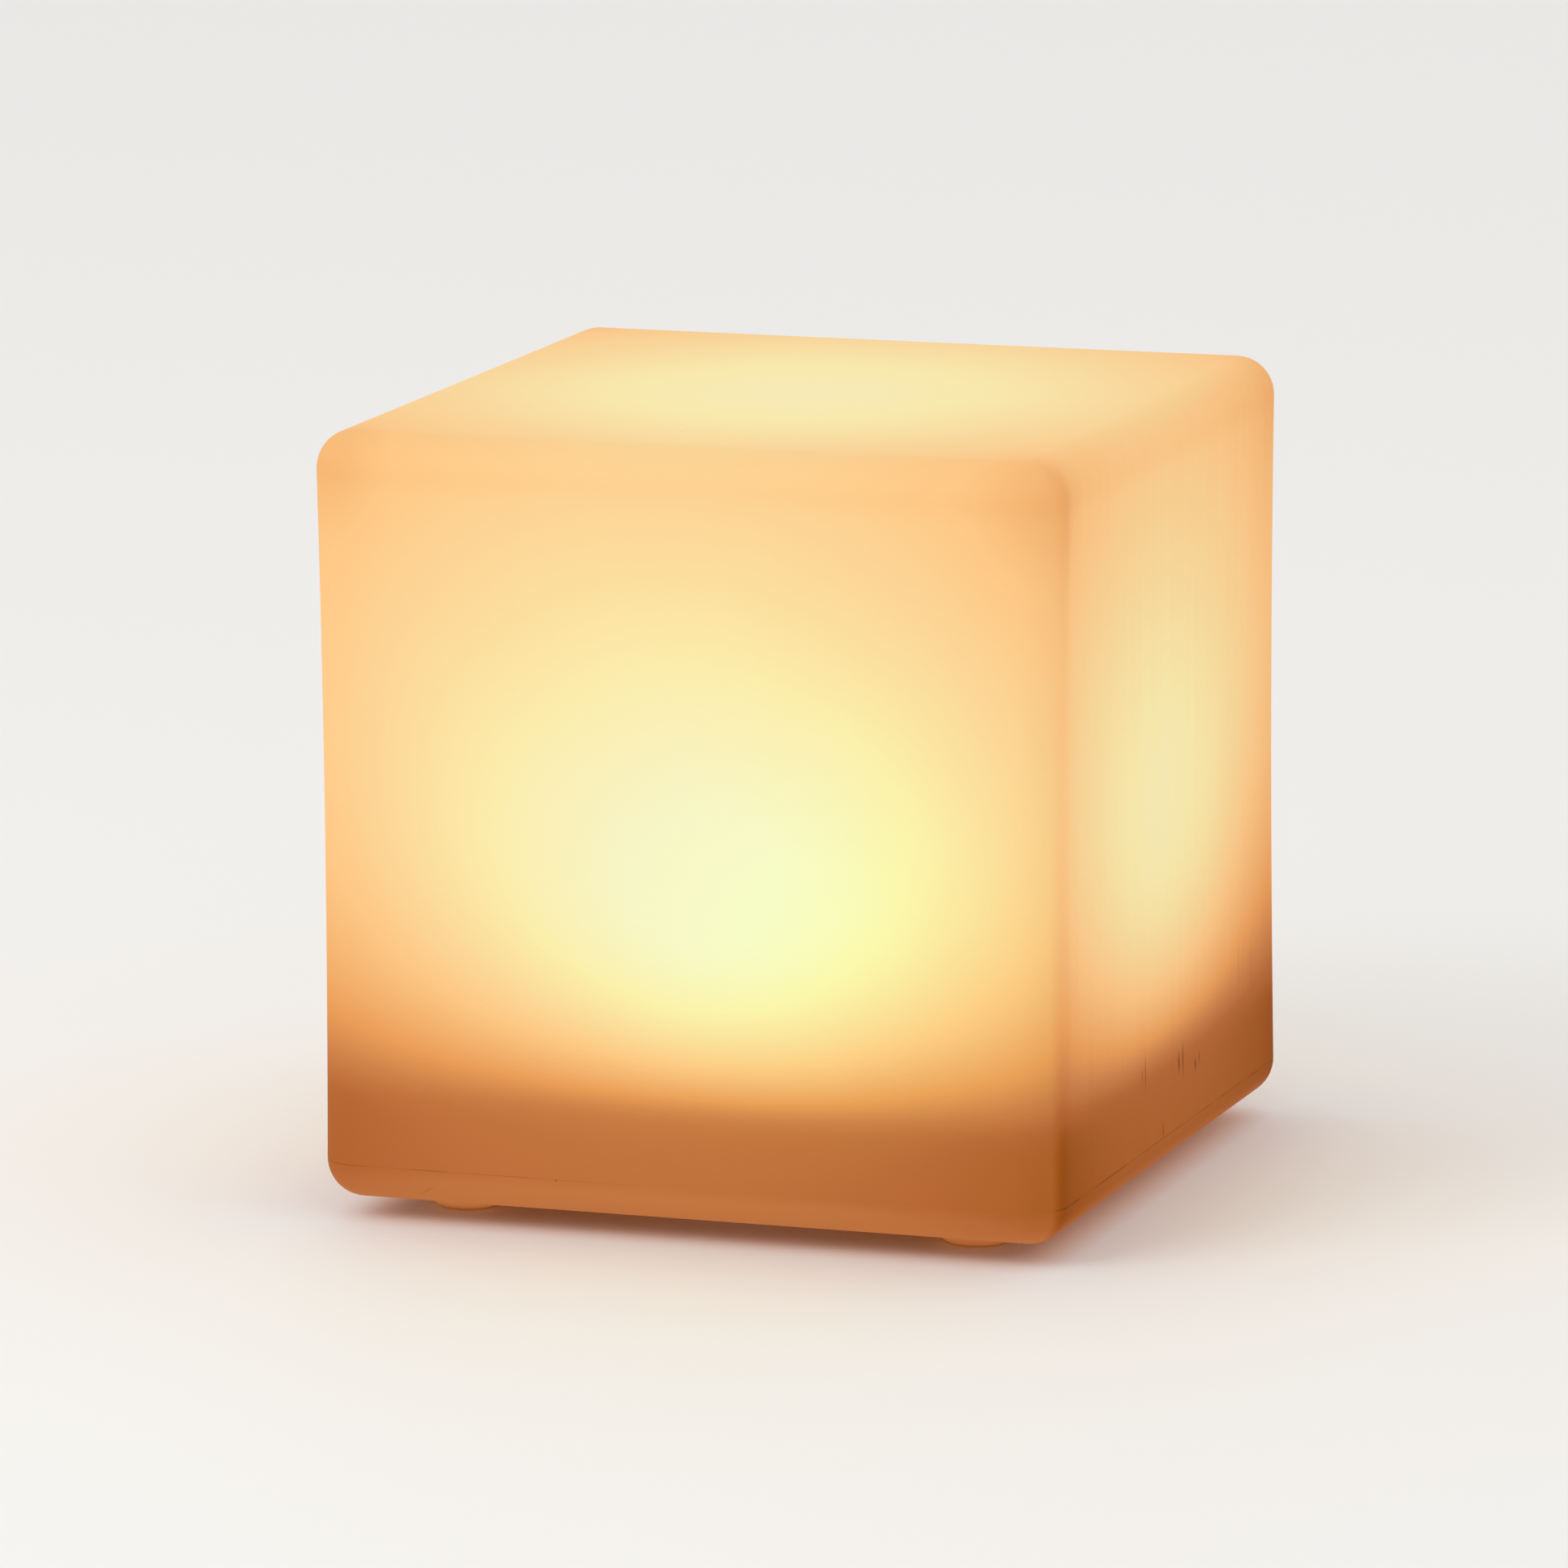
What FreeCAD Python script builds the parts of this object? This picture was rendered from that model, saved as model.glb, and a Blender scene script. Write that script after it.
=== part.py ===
import FreeCAD, Part
import math
import os

from FreeCAD import Vector

# A glowing garden cube: a rotationally moulded shell stands on four moulded feet, and a lamp
# module is screwed up into a recessed seat underneath. Millimetres, +Z up, origin on the floor
# under the middle of the cube. The face seen most squarely looks along -Y.

os.makedirs("parts", exist_ok=True)

# Shell
SIDE = 300.0                   # cube, flat to flat
CORNER_RADIUS = 15.5           # every outer edge of the cube
WALL = 3.0                     # even wall of the moulding
CAVITY_EDGE = 10.0             # inside edges, where the moulding is thicker
FOOT_HEIGHT = 8.0
FOOT_RADIUS = 14.8
FOOT_INSET = 46.0              # foot axis to the two nearest sides
FOOT_EDGE = 2.4                # easing round the sole
OPENING_RADIUS = 60.0
SEAT_LAND = 17.0               # width of the seat for the module's flange, round the opening
INSERT_SET_OUT = 8.5           # from the opening's edge to the circle of threaded inserts
INSERT_RADIUS = 3.4            # corner radius of a hexagonal insert
INSERT_LENGTH = 10.0
INSERT_END = 1.0               # closed end of an insert
INSERT_BOSS_WALL = 3.5         # plastic round and over an insert
MOULD_GAP = 0.05               # radial gap where a piece is moulded, threaded or pressed in

# Module base
FLANGE_THICKNESS = 4.0
FLANGE_SET_BACK = 0.5          # flange lies this far inside the cube's underside
FLANGE_GAP = 0.5               # radial gap, flange to recess
SEAL_THICKNESS = 1.5
SEAL_MARGIN = 1.0              # seal stands back from the opening
SEAL_WIDTH = 4.0
POCKET_LENGTH = 68.0
POCKET_WIDTH = 26.0
POCKET_DEPTH = 9.0
POCKET_CORNER = 6.0
POCKET_WALL = 2.2
POCKET_Y = -27.0               # middle of the control pocket
RIB = 2.0                      # thickness of the cradle ribs and end stops
FLANGE_SCREW_RADIUS = 2.0
FLANGE_SCREW_LENGTH = 14.0
FLANGE_SCREW_HEAD = 4.0        # corner radius of a hexagonal head
FLANGE_SCREW_HEAD_HEIGHT = 2.4
SCREW_GAP = 0.25               # radial gap in a clearance hole

# Spring clips that hold the boards and the strap
CLIP_THICKNESS = 1.6
CLIP_GAP = 0.2                 # clip to the piece that it holds
CLIP_LIP = 0.8                 # reach of the lip over the piece
CLIP_LIP_HEIGHT = 1.2
CLIP_HALF_WIDTH = 3.0

# Buttons
BUTTON_RADIUS = 6.5
BUTTON_PROUD = 3.0             # cap below the pocket's roof
BUTTON_RIM = 1.0               # sealing rim, past the bore
BUTTON_RIM_HEIGHT = 1.2
BUTTON_GAP = 0.1               # sliding gap, button to bore
BUTTON_TRAVEL = 1.0
POWER_X = -23.0
MODE_X = -5.0
SWITCH_SIDE = 6.0
SWITCH_HEIGHT = 3.5
PLUNGER_SIDE = 3.3             # square plunger
PLUNGER_HIDDEN = 1.2           # length inside the switch at rest
PLUNGER_GAP = 0.1

# Charging port
JACK_X = 15.0
JACK_NOSE = 4.5                # radius of the nose that fills the hole in the roof
JACK_PROUD = 1.2               # nose below the pocket's roof
JACK_FIT = 0.1
JACK_BODY = 10.0               # side of the square housing
JACK_BORE = 2.85
JACK_BORE_DEPTH = 9.3
JACK_PIN = 1.0
JACK_PIN_SINK = 1.1            # pin tip inside the nose face
BUNG_RADIUS = 5.8
BUNG_THICKNESS = 2.0
BUNG_SPIGOT = 2.6
BUNG_SPIGOT_HEIGHT = 0.9
BUNG_REACH = 7.2               # jack axis to the strap's bend
BUNG_STRAP = 5.0               # width of the strap
BUNG_BEND_GAP = 0.3
ANCHOR_SIDE = 5.0              # square post, as wide as the strap
ANCHOR_STEM = 3.0              # side of its square stem
ANCHOR_STEM_END = 1.6          # stem above the roof
LIGHT_PIPE_X = 6.2
LIGHT_PIPE_SIDE = 2.6
LIGHT_PIPE_PROUD = 0.4

# Control board
CONTROL_BOARD_LENGTH = 70.0
CONTROL_BOARD_WIDTH = 28.0
CONTROL_BOARD_LIFT = 7.5       # over the pocket's roof
BOARD_THICKNESS = 1.6
REST_SIDE = 3.0                # square rests under the board's corners
REST_INSET = 3.0
PLUG_X = -20.0                 # plug of the LED lead
PLUG_Y = -19.0
PLUG_LENGTH = 6.0
PLUG_WIDTH = 5.0
PLUG_HEIGHT = 7.0
COIL_SIDE = 10.0
COIL_HEIGHT = 5.0
COIL_Y = -28.0
CAPACITOR_RADIUS = 3.0
CAPACITOR_HEIGHT = 9.0
CAPACITOR_X = 12.5
CHIP_X = -12.5
CHIP_LENGTH = 6.0
CHIP_WIDTH = 5.0
CHIP_HEIGHT = 1.6
CHARGE_LIGHT_SIDE = 2.0
CHARGE_LIGHT_HEIGHT = 0.8
CHARGE_LIGHT_GAP = 0.3         # under the charge light, to the light pipe

# Battery
CELL_RADIUS = 9.2
CELL_LENGTH = 65.0
CELL_PITCH = 19.6
CELL_LIFT = 1.2                # under the cells, to the cup's floor
CELL_FIT = 0.15
PACK_Y = 14.8                  # middle of the pair of cells
CRADLE_SPACING = 24.0
END_STOP_HEIGHT = 12.0
END_STOP_GAP = 2.4             # room at the cells' ends for tabs and leads
TAB_THICKNESS = 0.3
TAB_WIDTH = 7.0
STRAP_WIDTH = 12.0
STRAP_THICKNESS = 2.2
STRAP_FOOT = 3.0               # strap's foot, outside its arch

# Light source
LED_LIFT = 42.0                # light-giving plane over the cube's underside
LED_BOARD_RADIUS = 46.0
LED_HEIGHT = 0.8
LED_LENGTH = 3.5
LED_WIDTH = 2.8
LED_OUTER_CIRCLE = 36.0
LED_OUTER_COUNT = 12
LED_INNER_CIRCLE = 16.0
LED_INNER_COUNT = 6
PILLAR_SHELF = 3.0             # shelf of a pillar under the LED board's edge
PILLAR_COUNT = 4
SLOT_LENGTH = 5.0              # slot in the LED board for its lead
SLOT_WIDTH = 4.8
SLOT_Y = -14.0
COVER_GAP = 1.5                # radial gap, cover to opening
COVER_WALL = 2.5
COVER_RISE = 14.0              # cover's top over the light-giving plane
SNAP_COUNT = 4
SNAP_LIFT = 3.0                # snap's hook over the plate
SNAP_HEIGHT = 2.0              # height of the hook and of the window that it fills
SNAP_REACH = 1.5               # hook inside the cover's wall
SNAP_GAP = 0.2

# Leads
LEAD_THICKNESS = 1.4
LEAD_BEND_SHARE = 0.45         # of the shorter run, each side of a bend
LEAD_STRAIGHT = 2.4            # straight out of the plug
LEAD_BELOW_BOARD = 4.0         # upright run under the LED board
LEAD_END = 4.8                 # last run along the LED board
BATTERY_LEAD_Y = -16.0         # where a battery lead leaves the control board
BATTERY_LEAD_RISE = 7.0

# Levels, from the floor up
UNDERSIDE_Z = FOOT_HEIGHT
FLANGE_Z = UNDERSIDE_Z + FLANGE_SET_BACK
FLOOR_Z = FLANGE_Z + FLANGE_THICKNESS
SEAT_Z = FLOOR_Z + SEAL_THICKNESS
ROOF_Z = FLANGE_Z + POCKET_DEPTH
ROOF_TOP_Z = ROOF_Z + POCKET_WALL
BUTTON_TOP_Z = ROOF_TOP_Z + BUTTON_RIM_HEIGHT
JACK_Z = ROOF_Z - JACK_PROUD
CONTROL_BOARD_Z = ROOF_TOP_Z + CONTROL_BOARD_LIFT
CONTROL_TOP_Z = CONTROL_BOARD_Z + BOARD_THICKNESS
SWITCH_Z = CONTROL_BOARD_Z - SWITCH_HEIGHT
PLUG_TOP_Z = CONTROL_TOP_Z + PLUG_HEIGHT
CELL_Z = FLOOR_Z + CELL_LIFT + CELL_RADIUS
LED_TOP_Z = UNDERSIDE_Z + LED_LIFT
LED_BOARD_TOP_Z = LED_TOP_Z - LED_HEIGHT
LED_BOARD_Z = LED_BOARD_TOP_Z - BOARD_THICKNESS
COVER_TOP_Z = LED_TOP_Z + COVER_RISE
SNAP_Z = FLOOR_Z + SNAP_LIFT

# Radii and places that follow
SEAT_RADIUS = OPENING_RADIUS + SEAT_LAND
INSERT_CIRCLE = OPENING_RADIUS + INSERT_SET_OUT
FLANGE_RADIUS = SEAT_RADIUS - FLANGE_GAP
COVER_RADIUS = OPENING_RADIUS - COVER_GAP
COVER_BORE = COVER_RADIUS - COVER_WALL
CELL_BORE = CELL_RADIUS + CELL_FIT
CELL_ROWS = (PACK_Y - CELL_PITCH / 2, PACK_Y + CELL_PITCH / 2)
STRAP_REACH = CELL_PITCH / 2 + CELL_BORE + STRAP_THICKNESS + STRAP_FOOT
TAB_FACE_X = CELL_LENGTH / 2 + TAB_THICKNESS
BUTTON_BORE = BUTTON_RADIUS + BUTTON_GAP
BUNG_Z = JACK_Z - BUNG_THICKNESS
BUNG_BEND_X = JACK_X + BUNG_REACH
BUNG_BEND_RADIUS = BUNG_THICKNESS / 2
ANCHOR_X = BUNG_BEND_X + BUNG_BEND_RADIUS + BUNG_BEND_GAP + ANCHOR_SIDE / 2

UP = Vector(0, 0, 1)


def disc(radius, z_low, z_high, x=0.0, y=0.0):
    return Part.makeCylinder(radius, z_high - z_low, Vector(x, y, z_low))


def block(x_low, x_high, y_low, y_high, z_low, z_high):
    return Part.makeBox(x_high - x_low, y_high - y_low, z_high - z_low, Vector(x_low, y_low, z_low))


def square_bar(side, z_low, z_high, x, y):
    return block(x - side / 2, x + side / 2, y - side / 2, y + side / 2, z_low, z_high)


def hexagon_bar(corner_radius, z_low, z_high, x, y):
    corners = [Vector(x + dx, y + dy, z_low) for dx, dy in circle_places(corner_radius, 6)]
    face = Part.Face(Part.makePolygon(corners + [corners[0]]))
    return face.extrude(UP * (z_high - z_low))


def turned(outline, x=0.0, y=0.0):
    """A solid of revolution about an upright axis, from the (r, z) corners of half its section."""
    corners = [Vector(r, 0, z) for r, z in outline]
    face = Part.Face(Part.makePolygon(corners + [corners[0]]))
    solid = face.revolve(Vector(0, 0, 0), UP, 360)
    solid.translate(Vector(x, y, 0))
    return solid


def joined(solids):
    return solids[0].fuse(solids[1:]).removeSplitter()


def placed(solid, degrees, x, y):
    """The solid turned about the upright axis, then moved out to (x, y)."""
    solid.rotate(Vector(0, 0, 0), UP, degrees)
    solid.translate(Vector(x, y, 0))
    return solid


def circle_angles(count, first_degrees=0.0):
    return [first_degrees + 360.0 * index / count for index in range(count)]


def circle_places(radius, count, first_degrees=0.0):
    """Centres spaced evenly on a circle round the module's axis."""
    angles = [math.radians(degrees) for degrees in circle_angles(count, first_degrees)]
    return [(radius * math.cos(angle), radius * math.sin(angle)) for angle in angles]


def insert_places():
    return circle_places(INSERT_CIRCLE, 4, 45.0)


def arm(near, far, half_width, z_low, z_high):
    """A block that lies along +X from near to far, ready to be turned round the module."""
    return block(near, far, -half_width, half_width, z_low, z_high)


def clip(reach, z_low, held_z, degrees, y=0.0):
    """An upright just outside reach, with a lip over a piece whose top is at held_z."""
    near = reach + CLIP_GAP
    top = held_z + CLIP_LIP_HEIGHT
    upright = arm(near, near + CLIP_THICKNESS, CLIP_HALF_WIDTH, z_low, top)
    lip = arm(reach - CLIP_LIP, near, CLIP_HALF_WIDTH, held_z, top)
    return placed(upright.fuse(lip), degrees, 0.0, y)


def cell_bar(y, radius, x_low, x_high):
    return Part.makeCylinder(radius, x_high - x_low, Vector(x_low, y, CELL_Z), Vector(1, 0, 0))


def rounded_cube():
    half = SIDE / 2
    cube = block(-half, half, -half, half, UNDERSIDE_Z, UNDERSIDE_Z + SIDE)
    return cube.makeFillet(CORNER_RADIUS, cube.Edges)


def cavity_cube():
    """The hollow one wall inside the cube. Its edges are flats, as the plastic pools there."""
    half = SIDE / 2 - WALL
    cube = block(-half, half, -half, half, UNDERSIDE_Z + WALL, UNDERSIDE_Z + SIDE - WALL)
    return cube.makeChamfer(CAVITY_EDGE, cube.Edges)


def foot_places():
    reach = SIDE / 2 - FOOT_INSET
    return [(x, y) for x in (-reach, reach) for y in (-reach, reach)]


def foot(x, y):
    """A round foot with an eased sole, run halfway into the wall above it."""
    sole = FOOT_RADIUS - FOOT_EDGE
    root_z = UNDERSIDE_Z + WALL / 2
    outline = [(0, 0), (sole, 0), (FOOT_RADIUS, FOOT_EDGE), (FOOT_RADIUS, root_z), (0, root_z)]
    return turned(outline, x, y)


def foot_hollow(x, y):
    """The inside of a foot, one wall inside its outline."""
    return disc(FOOT_RADIUS - WALL, WALL, UNDERSIDE_Z + 2 * WALL, x, y)


def cube_shell():
    """One hollow moulding: cube, feet, recessed seat, insert bosses and the sawn-out opening."""
    outside = joined([rounded_cube()] + [foot(x, y) for x, y in foot_places()])
    cavity = joined([cavity_cube()] + [foot_hollow(x, y) for x, y in foot_places()])
    cavity = cavity.cut(disc(SEAT_RADIUS + WALL, 0, SEAT_Z + WALL))
    shell = outside.cut([cavity, disc(SEAT_RADIUS, 0, SEAT_Z)])
    boss_radius = INSERT_RADIUS + INSERT_BOSS_WALL
    boss_top = SEAT_Z + INSERT_LENGTH + INSERT_BOSS_WALL
    bosses = [hexagon_bar(boss_radius, SEAT_Z, boss_top, x, y) for x, y in insert_places()]
    bore = INSERT_RADIUS + MOULD_GAP
    bores = [hexagon_bar(bore, SEAT_Z, SEAT_Z + INSERT_LENGTH, x, y) for x, y in insert_places()]
    opening = disc(OPENING_RADIUS, 0, SEAT_Z + 2 * WALL)
    return joined([shell] + bosses).cut(bores + [opening])


def shell_inserts():
    """Hexagonal brass bushes with blind threads, moulded into the seat."""
    top = SEAT_Z + INSERT_LENGTH
    thread = FLANGE_SCREW_RADIUS + MOULD_GAP
    inserts = []
    for x, y in insert_places():
        bush = hexagon_bar(INSERT_RADIUS, SEAT_Z, top, x, y)
        inserts.append(bush.cut(disc(thread, SEAT_Z, top - INSERT_END, x, y)))
    return Part.makeCompound(inserts)


def rounded_slab(reach_x, reach_y, middle_y, corner, z_low, z_high):
    """A slab with rounded upright corners."""
    slab = block(-reach_x, reach_x, middle_y - reach_y, middle_y + reach_y, z_low, z_high)
    uprights = [edge for edge in slab.Edges if edge.BoundBox.ZLength > (z_high - z_low) / 2]
    return slab.makeFillet(corner, uprights)


def pocket(margin, z_low, z_high):
    reach_x = POCKET_LENGTH / 2 + margin
    reach_y = POCKET_WIDTH / 2 + margin
    return rounded_slab(reach_x, reach_y, POCKET_Y, POCKET_CORNER + margin, z_low, z_high)


def cradle():
    """Ribs across the floor, scalloped to the cells, and a low stop past each end of the cells."""
    reach = CELL_PITCH / 2 + CELL_RADIUS
    ribs = []
    for x in (-CRADLE_SPACING, 0.0, CRADLE_SPACING):
        rib = block(x - RIB / 2, x + RIB / 2, PACK_Y - reach, PACK_Y + reach, FLOOR_Z, CELL_Z)
        ribs.append(rib.cut([cell_bar(y, CELL_BORE, x - RIB, x + RIB) for y in CELL_ROWS]))
    stop_x = CELL_LENGTH / 2 + END_STOP_GAP
    for x in (-stop_x - RIB, stop_x):
        ribs.append(block(x, x + RIB, PACK_Y - reach, PACK_Y + reach, FLOOR_Z, FLOOR_Z + END_STOP_HEIGHT))
    return ribs


def strap_seats():
    """Two blocks under the strap's feet, each with a clip that holds the foot down."""
    half = STRAP_WIDTH / 2
    seats = []
    for low, high in ((-STRAP_REACH, STRAP_FOOT - STRAP_REACH), (STRAP_REACH - STRAP_FOOT, STRAP_REACH)):
        seats.append(block(-half, half, PACK_Y + low, PACK_Y + high, FLOOR_Z, CELL_Z))
    for degrees in (90.0, 270.0):
        seats.append(clip(STRAP_REACH, FLOOR_Z, CELL_Z + STRAP_THICKNESS, degrees, PACK_Y))
    return seats


def board_seats():
    """Rests under the control board's corners and a clip at each end, rooted in the plate."""
    reach_x = CONTROL_BOARD_LENGTH / 2 - REST_INSET
    reach_y = CONTROL_BOARD_WIDTH / 2 - REST_SIDE
    seats = []
    for x in (-reach_x, reach_x - REST_SIDE):
        for y in (POCKET_Y - reach_y, POCKET_Y + reach_y - REST_SIDE):
            seats.append(block(x, x + REST_SIDE, y, y + REST_SIDE, FLOOR_Z, CONTROL_BOARD_Z))
    for degrees in (0.0, 180.0):
        seats.append(clip(CONTROL_BOARD_LENGTH / 2, FLOOR_Z, CONTROL_TOP_Z, degrees, POCKET_Y))
    return seats


def led_pillars():
    """Pillars that carry the LED board's edge, each with a clip over it."""
    inner = LED_BOARD_RADIUS - PILLAR_SHELF
    outer = LED_BOARD_RADIUS + CLIP_GAP + CLIP_THICKNESS
    pillars = []
    for degrees in circle_angles(PILLAR_COUNT):
        shelf = placed(arm(inner, outer, CLIP_HALF_WIDTH, FLOOR_Z, LED_BOARD_Z), degrees, 0.0, 0.0)
        pillars.append(shelf.fuse(clip(LED_BOARD_RADIUS, LED_BOARD_Z, LED_BOARD_TOP_Z, degrees)))
    return pillars


def cover_snaps():
    """Springs just inside the cover, whose hooks fill the windows in its wall."""
    outer = COVER_BORE - SNAP_GAP
    top = SNAP_Z + SNAP_HEIGHT
    snaps = []
    for degrees in circle_angles(SNAP_COUNT, 45.0):
        spring = arm(outer - CLIP_THICKNESS, outer, CLIP_HALF_WIDTH, FLOOR_Z, top)
        hook = arm(outer, COVER_BORE + SNAP_REACH, CLIP_HALF_WIDTH, SNAP_Z, top)
        snaps.append(placed(spring.fuse(hook), degrees, 0.0, 0.0))
    return snaps


def roof_holes():
    """The holes through the pocket's roof: three round bores and two square ones."""
    round_ones = ((BUTTON_BORE, POWER_X), (BUTTON_BORE, MODE_X), (JACK_NOSE + JACK_FIT, JACK_X))
    square_ones = ((LIGHT_PIPE_SIDE, LIGHT_PIPE_X), (ANCHOR_STEM, ANCHOR_X))
    holes = [disc(radius, ROOF_Z, ROOF_TOP_Z, x, POCKET_Y) for radius, x in round_ones]
    for side, x in square_ones:
        holes.append(square_bar(side + 2 * MOULD_GAP, ROOF_Z, ROOF_TOP_Z, x, POCKET_Y))
    return holes


def module_base():
    """The moulded base: flange, control pocket, cell cradle, board seats, pillars and snaps."""
    plate = disc(FLANGE_RADIUS, FLANGE_Z, FLOOR_Z)
    tower = pocket(POCKET_WALL, FLANGE_Z, ROOF_TOP_Z)
    holders = cradle() + strap_seats() + board_seats() + led_pillars() + cover_snaps()
    base = joined([plate, tower] + holders)
    hole = FLANGE_SCREW_RADIUS + SCREW_GAP
    screw_holes = [disc(hole, FLANGE_Z, FLOOR_Z, x, y) for x, y in insert_places()]
    return base.cut([pocket(0.0, FLANGE_Z, ROOF_Z)] + roof_holes() + screw_holes)


def flange_seal():
    """A flat silicone ring that the flange squeezes against the seat, inside the screws."""
    inner = OPENING_RADIUS + SEAL_MARGIN
    return disc(inner + SEAL_WIDTH, FLOOR_Z, SEAT_Z).cut(disc(inner, FLOOR_Z, SEAT_Z))


def flange_screws():
    """Four machine screws, driven upward with their heads on the flange."""
    head_z = FLANGE_Z - FLANGE_SCREW_HEAD_HEIGHT
    screws = []
    for x, y in insert_places():
        head = hexagon_bar(FLANGE_SCREW_HEAD, head_z, FLANGE_Z, x, y)
        shank = disc(FLANGE_SCREW_RADIUS, FLANGE_Z, FLANGE_Z + FLANGE_SCREW_LENGTH, x, y)
        screws.append(joined([head, shank]))
    return Part.makeCompound(screws)


def led_board():
    """The round board, with a slot for its lead."""
    board = disc(LED_BOARD_RADIUS, LED_BOARD_Z, LED_BOARD_TOP_Z)
    half_length = SLOT_LENGTH / 2
    half_width = SLOT_WIDTH / 2
    slot = block(PLUG_X - half_length, PLUG_X + half_length, SLOT_Y - half_width, SLOT_Y + half_width,
                 LED_BOARD_Z, LED_BOARD_TOP_Z)
    return board.cut(slot)


def led_chips():
    """Surface-mounted LEDs on two circles, each turned to face along its circle."""
    rings = ((LED_OUTER_CIRCLE, LED_OUTER_COUNT, 15.0), (LED_INNER_CIRCLE, LED_INNER_COUNT, 0.0))
    half = LED_LENGTH / 2
    chips = []
    for radius, count, first in rings:
        for degrees in circle_angles(count, first):
            chip = arm(radius - half, radius + half, LED_WIDTH / 2, LED_BOARD_TOP_Z, LED_TOP_Z)
            chips.append(placed(chip, degrees, 0.0, 0.0))
    return Part.makeCompound(chips)


def led_cover():
    """A clear pot over the whole module, with windows in its wall for the snaps."""
    pot = disc(COVER_RADIUS, FLOOR_Z, COVER_TOP_Z)
    inside = disc(COVER_BORE, FLOOR_Z, COVER_TOP_Z - COVER_WALL)
    half = CLIP_HALF_WIDTH + SNAP_GAP
    windows = []
    for degrees in circle_angles(SNAP_COUNT, 45.0):
        window = arm(COVER_BORE - SNAP_GAP, OPENING_RADIUS, half, SNAP_Z, SNAP_Z + SNAP_HEIGHT + SNAP_GAP)
        windows.append(placed(window, degrees, 0.0, 0.0))
    return pot.cut([inside] + windows)


def battery_cells():
    half = CELL_LENGTH / 2
    return Part.makeCompound([cell_bar(y, CELL_RADIUS, -half, half) for y in CELL_ROWS])


def battery_tabs():
    """Nickel strips welded across the cells' ends."""
    half = TAB_WIDTH / 2
    y_low = PACK_Y - CELL_PITCH / 2 - half
    y_high = PACK_Y + CELL_PITCH / 2 + half
    tabs = []
    for x_low in (-TAB_FACE_X, CELL_LENGTH / 2):
        tabs.append(block(x_low, x_low + TAB_THICKNESS, y_low, y_high, CELL_Z - half, CELL_Z + half))
    return Part.makeCompound(tabs)


def battery_strap():
    """A saddle over both cells: an even band of flats with a scallop for each cell, and two feet."""
    half = STRAP_WIDTH / 2
    band = CELL_BORE + STRAP_THICKNESS
    side = CELL_PITCH / 2 + band
    flat = band * math.tan(math.pi / 8)
    sloped = band - flat
    right = [(side, 0), (side, flat), (side - sloped, band)]
    left = [(-y, z) for y, z in reversed(right)]
    corners = [Vector(-half, PACK_Y + y, CELL_Z + z) for y, z in right + left]
    saddle = Part.Face(Part.makePolygon(corners + [corners[0]])).extrude(Vector(STRAP_WIDTH, 0, 0))
    feet = block(-half, half, PACK_Y - STRAP_REACH, PACK_Y + STRAP_REACH, CELL_Z, CELL_Z + STRAP_THICKNESS)
    return joined([saddle, feet]).cut([cell_bar(y, CELL_BORE, -half, half) for y in CELL_ROWS])


def control_board():
    reach_x = CONTROL_BOARD_LENGTH / 2
    reach_y = CONTROL_BOARD_WIDTH / 2
    return block(-reach_x, reach_x, POCKET_Y - reach_y, POCKET_Y + reach_y, CONTROL_BOARD_Z, CONTROL_TOP_Z)


def power_coil():
    return square_bar(COIL_SIDE, CONTROL_TOP_Z, CONTROL_TOP_Z + COIL_HEIGHT, 0.0, COIL_Y)


def capacitor():
    return disc(CAPACITOR_RADIUS, CONTROL_TOP_Z, CONTROL_TOP_Z + CAPACITOR_HEIGHT, CAPACITOR_X, COIL_Y)


def box_on_board(length, width, height, x, y):
    """A part on top of the control board, centred on (x, y)."""
    reach_x = length / 2
    reach_y = width / 2
    return block(x - reach_x, x + reach_x, y - reach_y, y + reach_y, CONTROL_TOP_Z, CONTROL_TOP_Z + height)


def controller_chip():
    return box_on_board(CHIP_LENGTH, CHIP_WIDTH, CHIP_HEIGHT, CHIP_X, COIL_Y)


def charge_light():
    """The indicator under the board, over its light pipe."""
    low = CONTROL_BOARD_Z - CHARGE_LIGHT_HEIGHT
    return square_bar(CHARGE_LIGHT_SIDE, low, CONTROL_BOARD_Z, LIGHT_PIPE_X, POCKET_Y)


def led_plug():
    return box_on_board(PLUG_LENGTH, PLUG_WIDTH, PLUG_HEIGHT, PLUG_X, PLUG_Y)


def tact_switches():
    """Square switches under the board, each hollow for its plunger and the plunger's travel."""
    hollow_z = SWITCH_Z + PLUNGER_HIDDEN + BUTTON_TRAVEL + PLUNGER_GAP
    hollow_side = PLUNGER_SIDE + 2 * PLUNGER_GAP
    switches = []
    for x in (POWER_X, MODE_X):
        body = square_bar(SWITCH_SIDE, SWITCH_Z, CONTROL_BOARD_Z, x, POCKET_Y)
        switches.append(body.cut(square_bar(hollow_side, SWITCH_Z, hollow_z, x, POCKET_Y)))
    return Part.makeCompound(switches)


def plunger(x):
    """A long switch plunger, down to the button that pushes it."""
    return square_bar(PLUNGER_SIDE, BUTTON_TOP_Z, SWITCH_Z + PLUNGER_HIDDEN, x, POCKET_Y)


def button(x):
    """A silicone cap in its bore, with a square rim that seals against the roof's inner face."""
    cap = disc(BUTTON_RADIUS, ROOF_Z - BUTTON_PROUD, ROOF_TOP_Z, x, POCKET_Y)
    rim = square_bar(2 * (BUTTON_BORE + BUTTON_RIM), ROOF_TOP_Z, BUTTON_TOP_Z, x, POCKET_Y)
    return joined([cap, rim])


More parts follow.
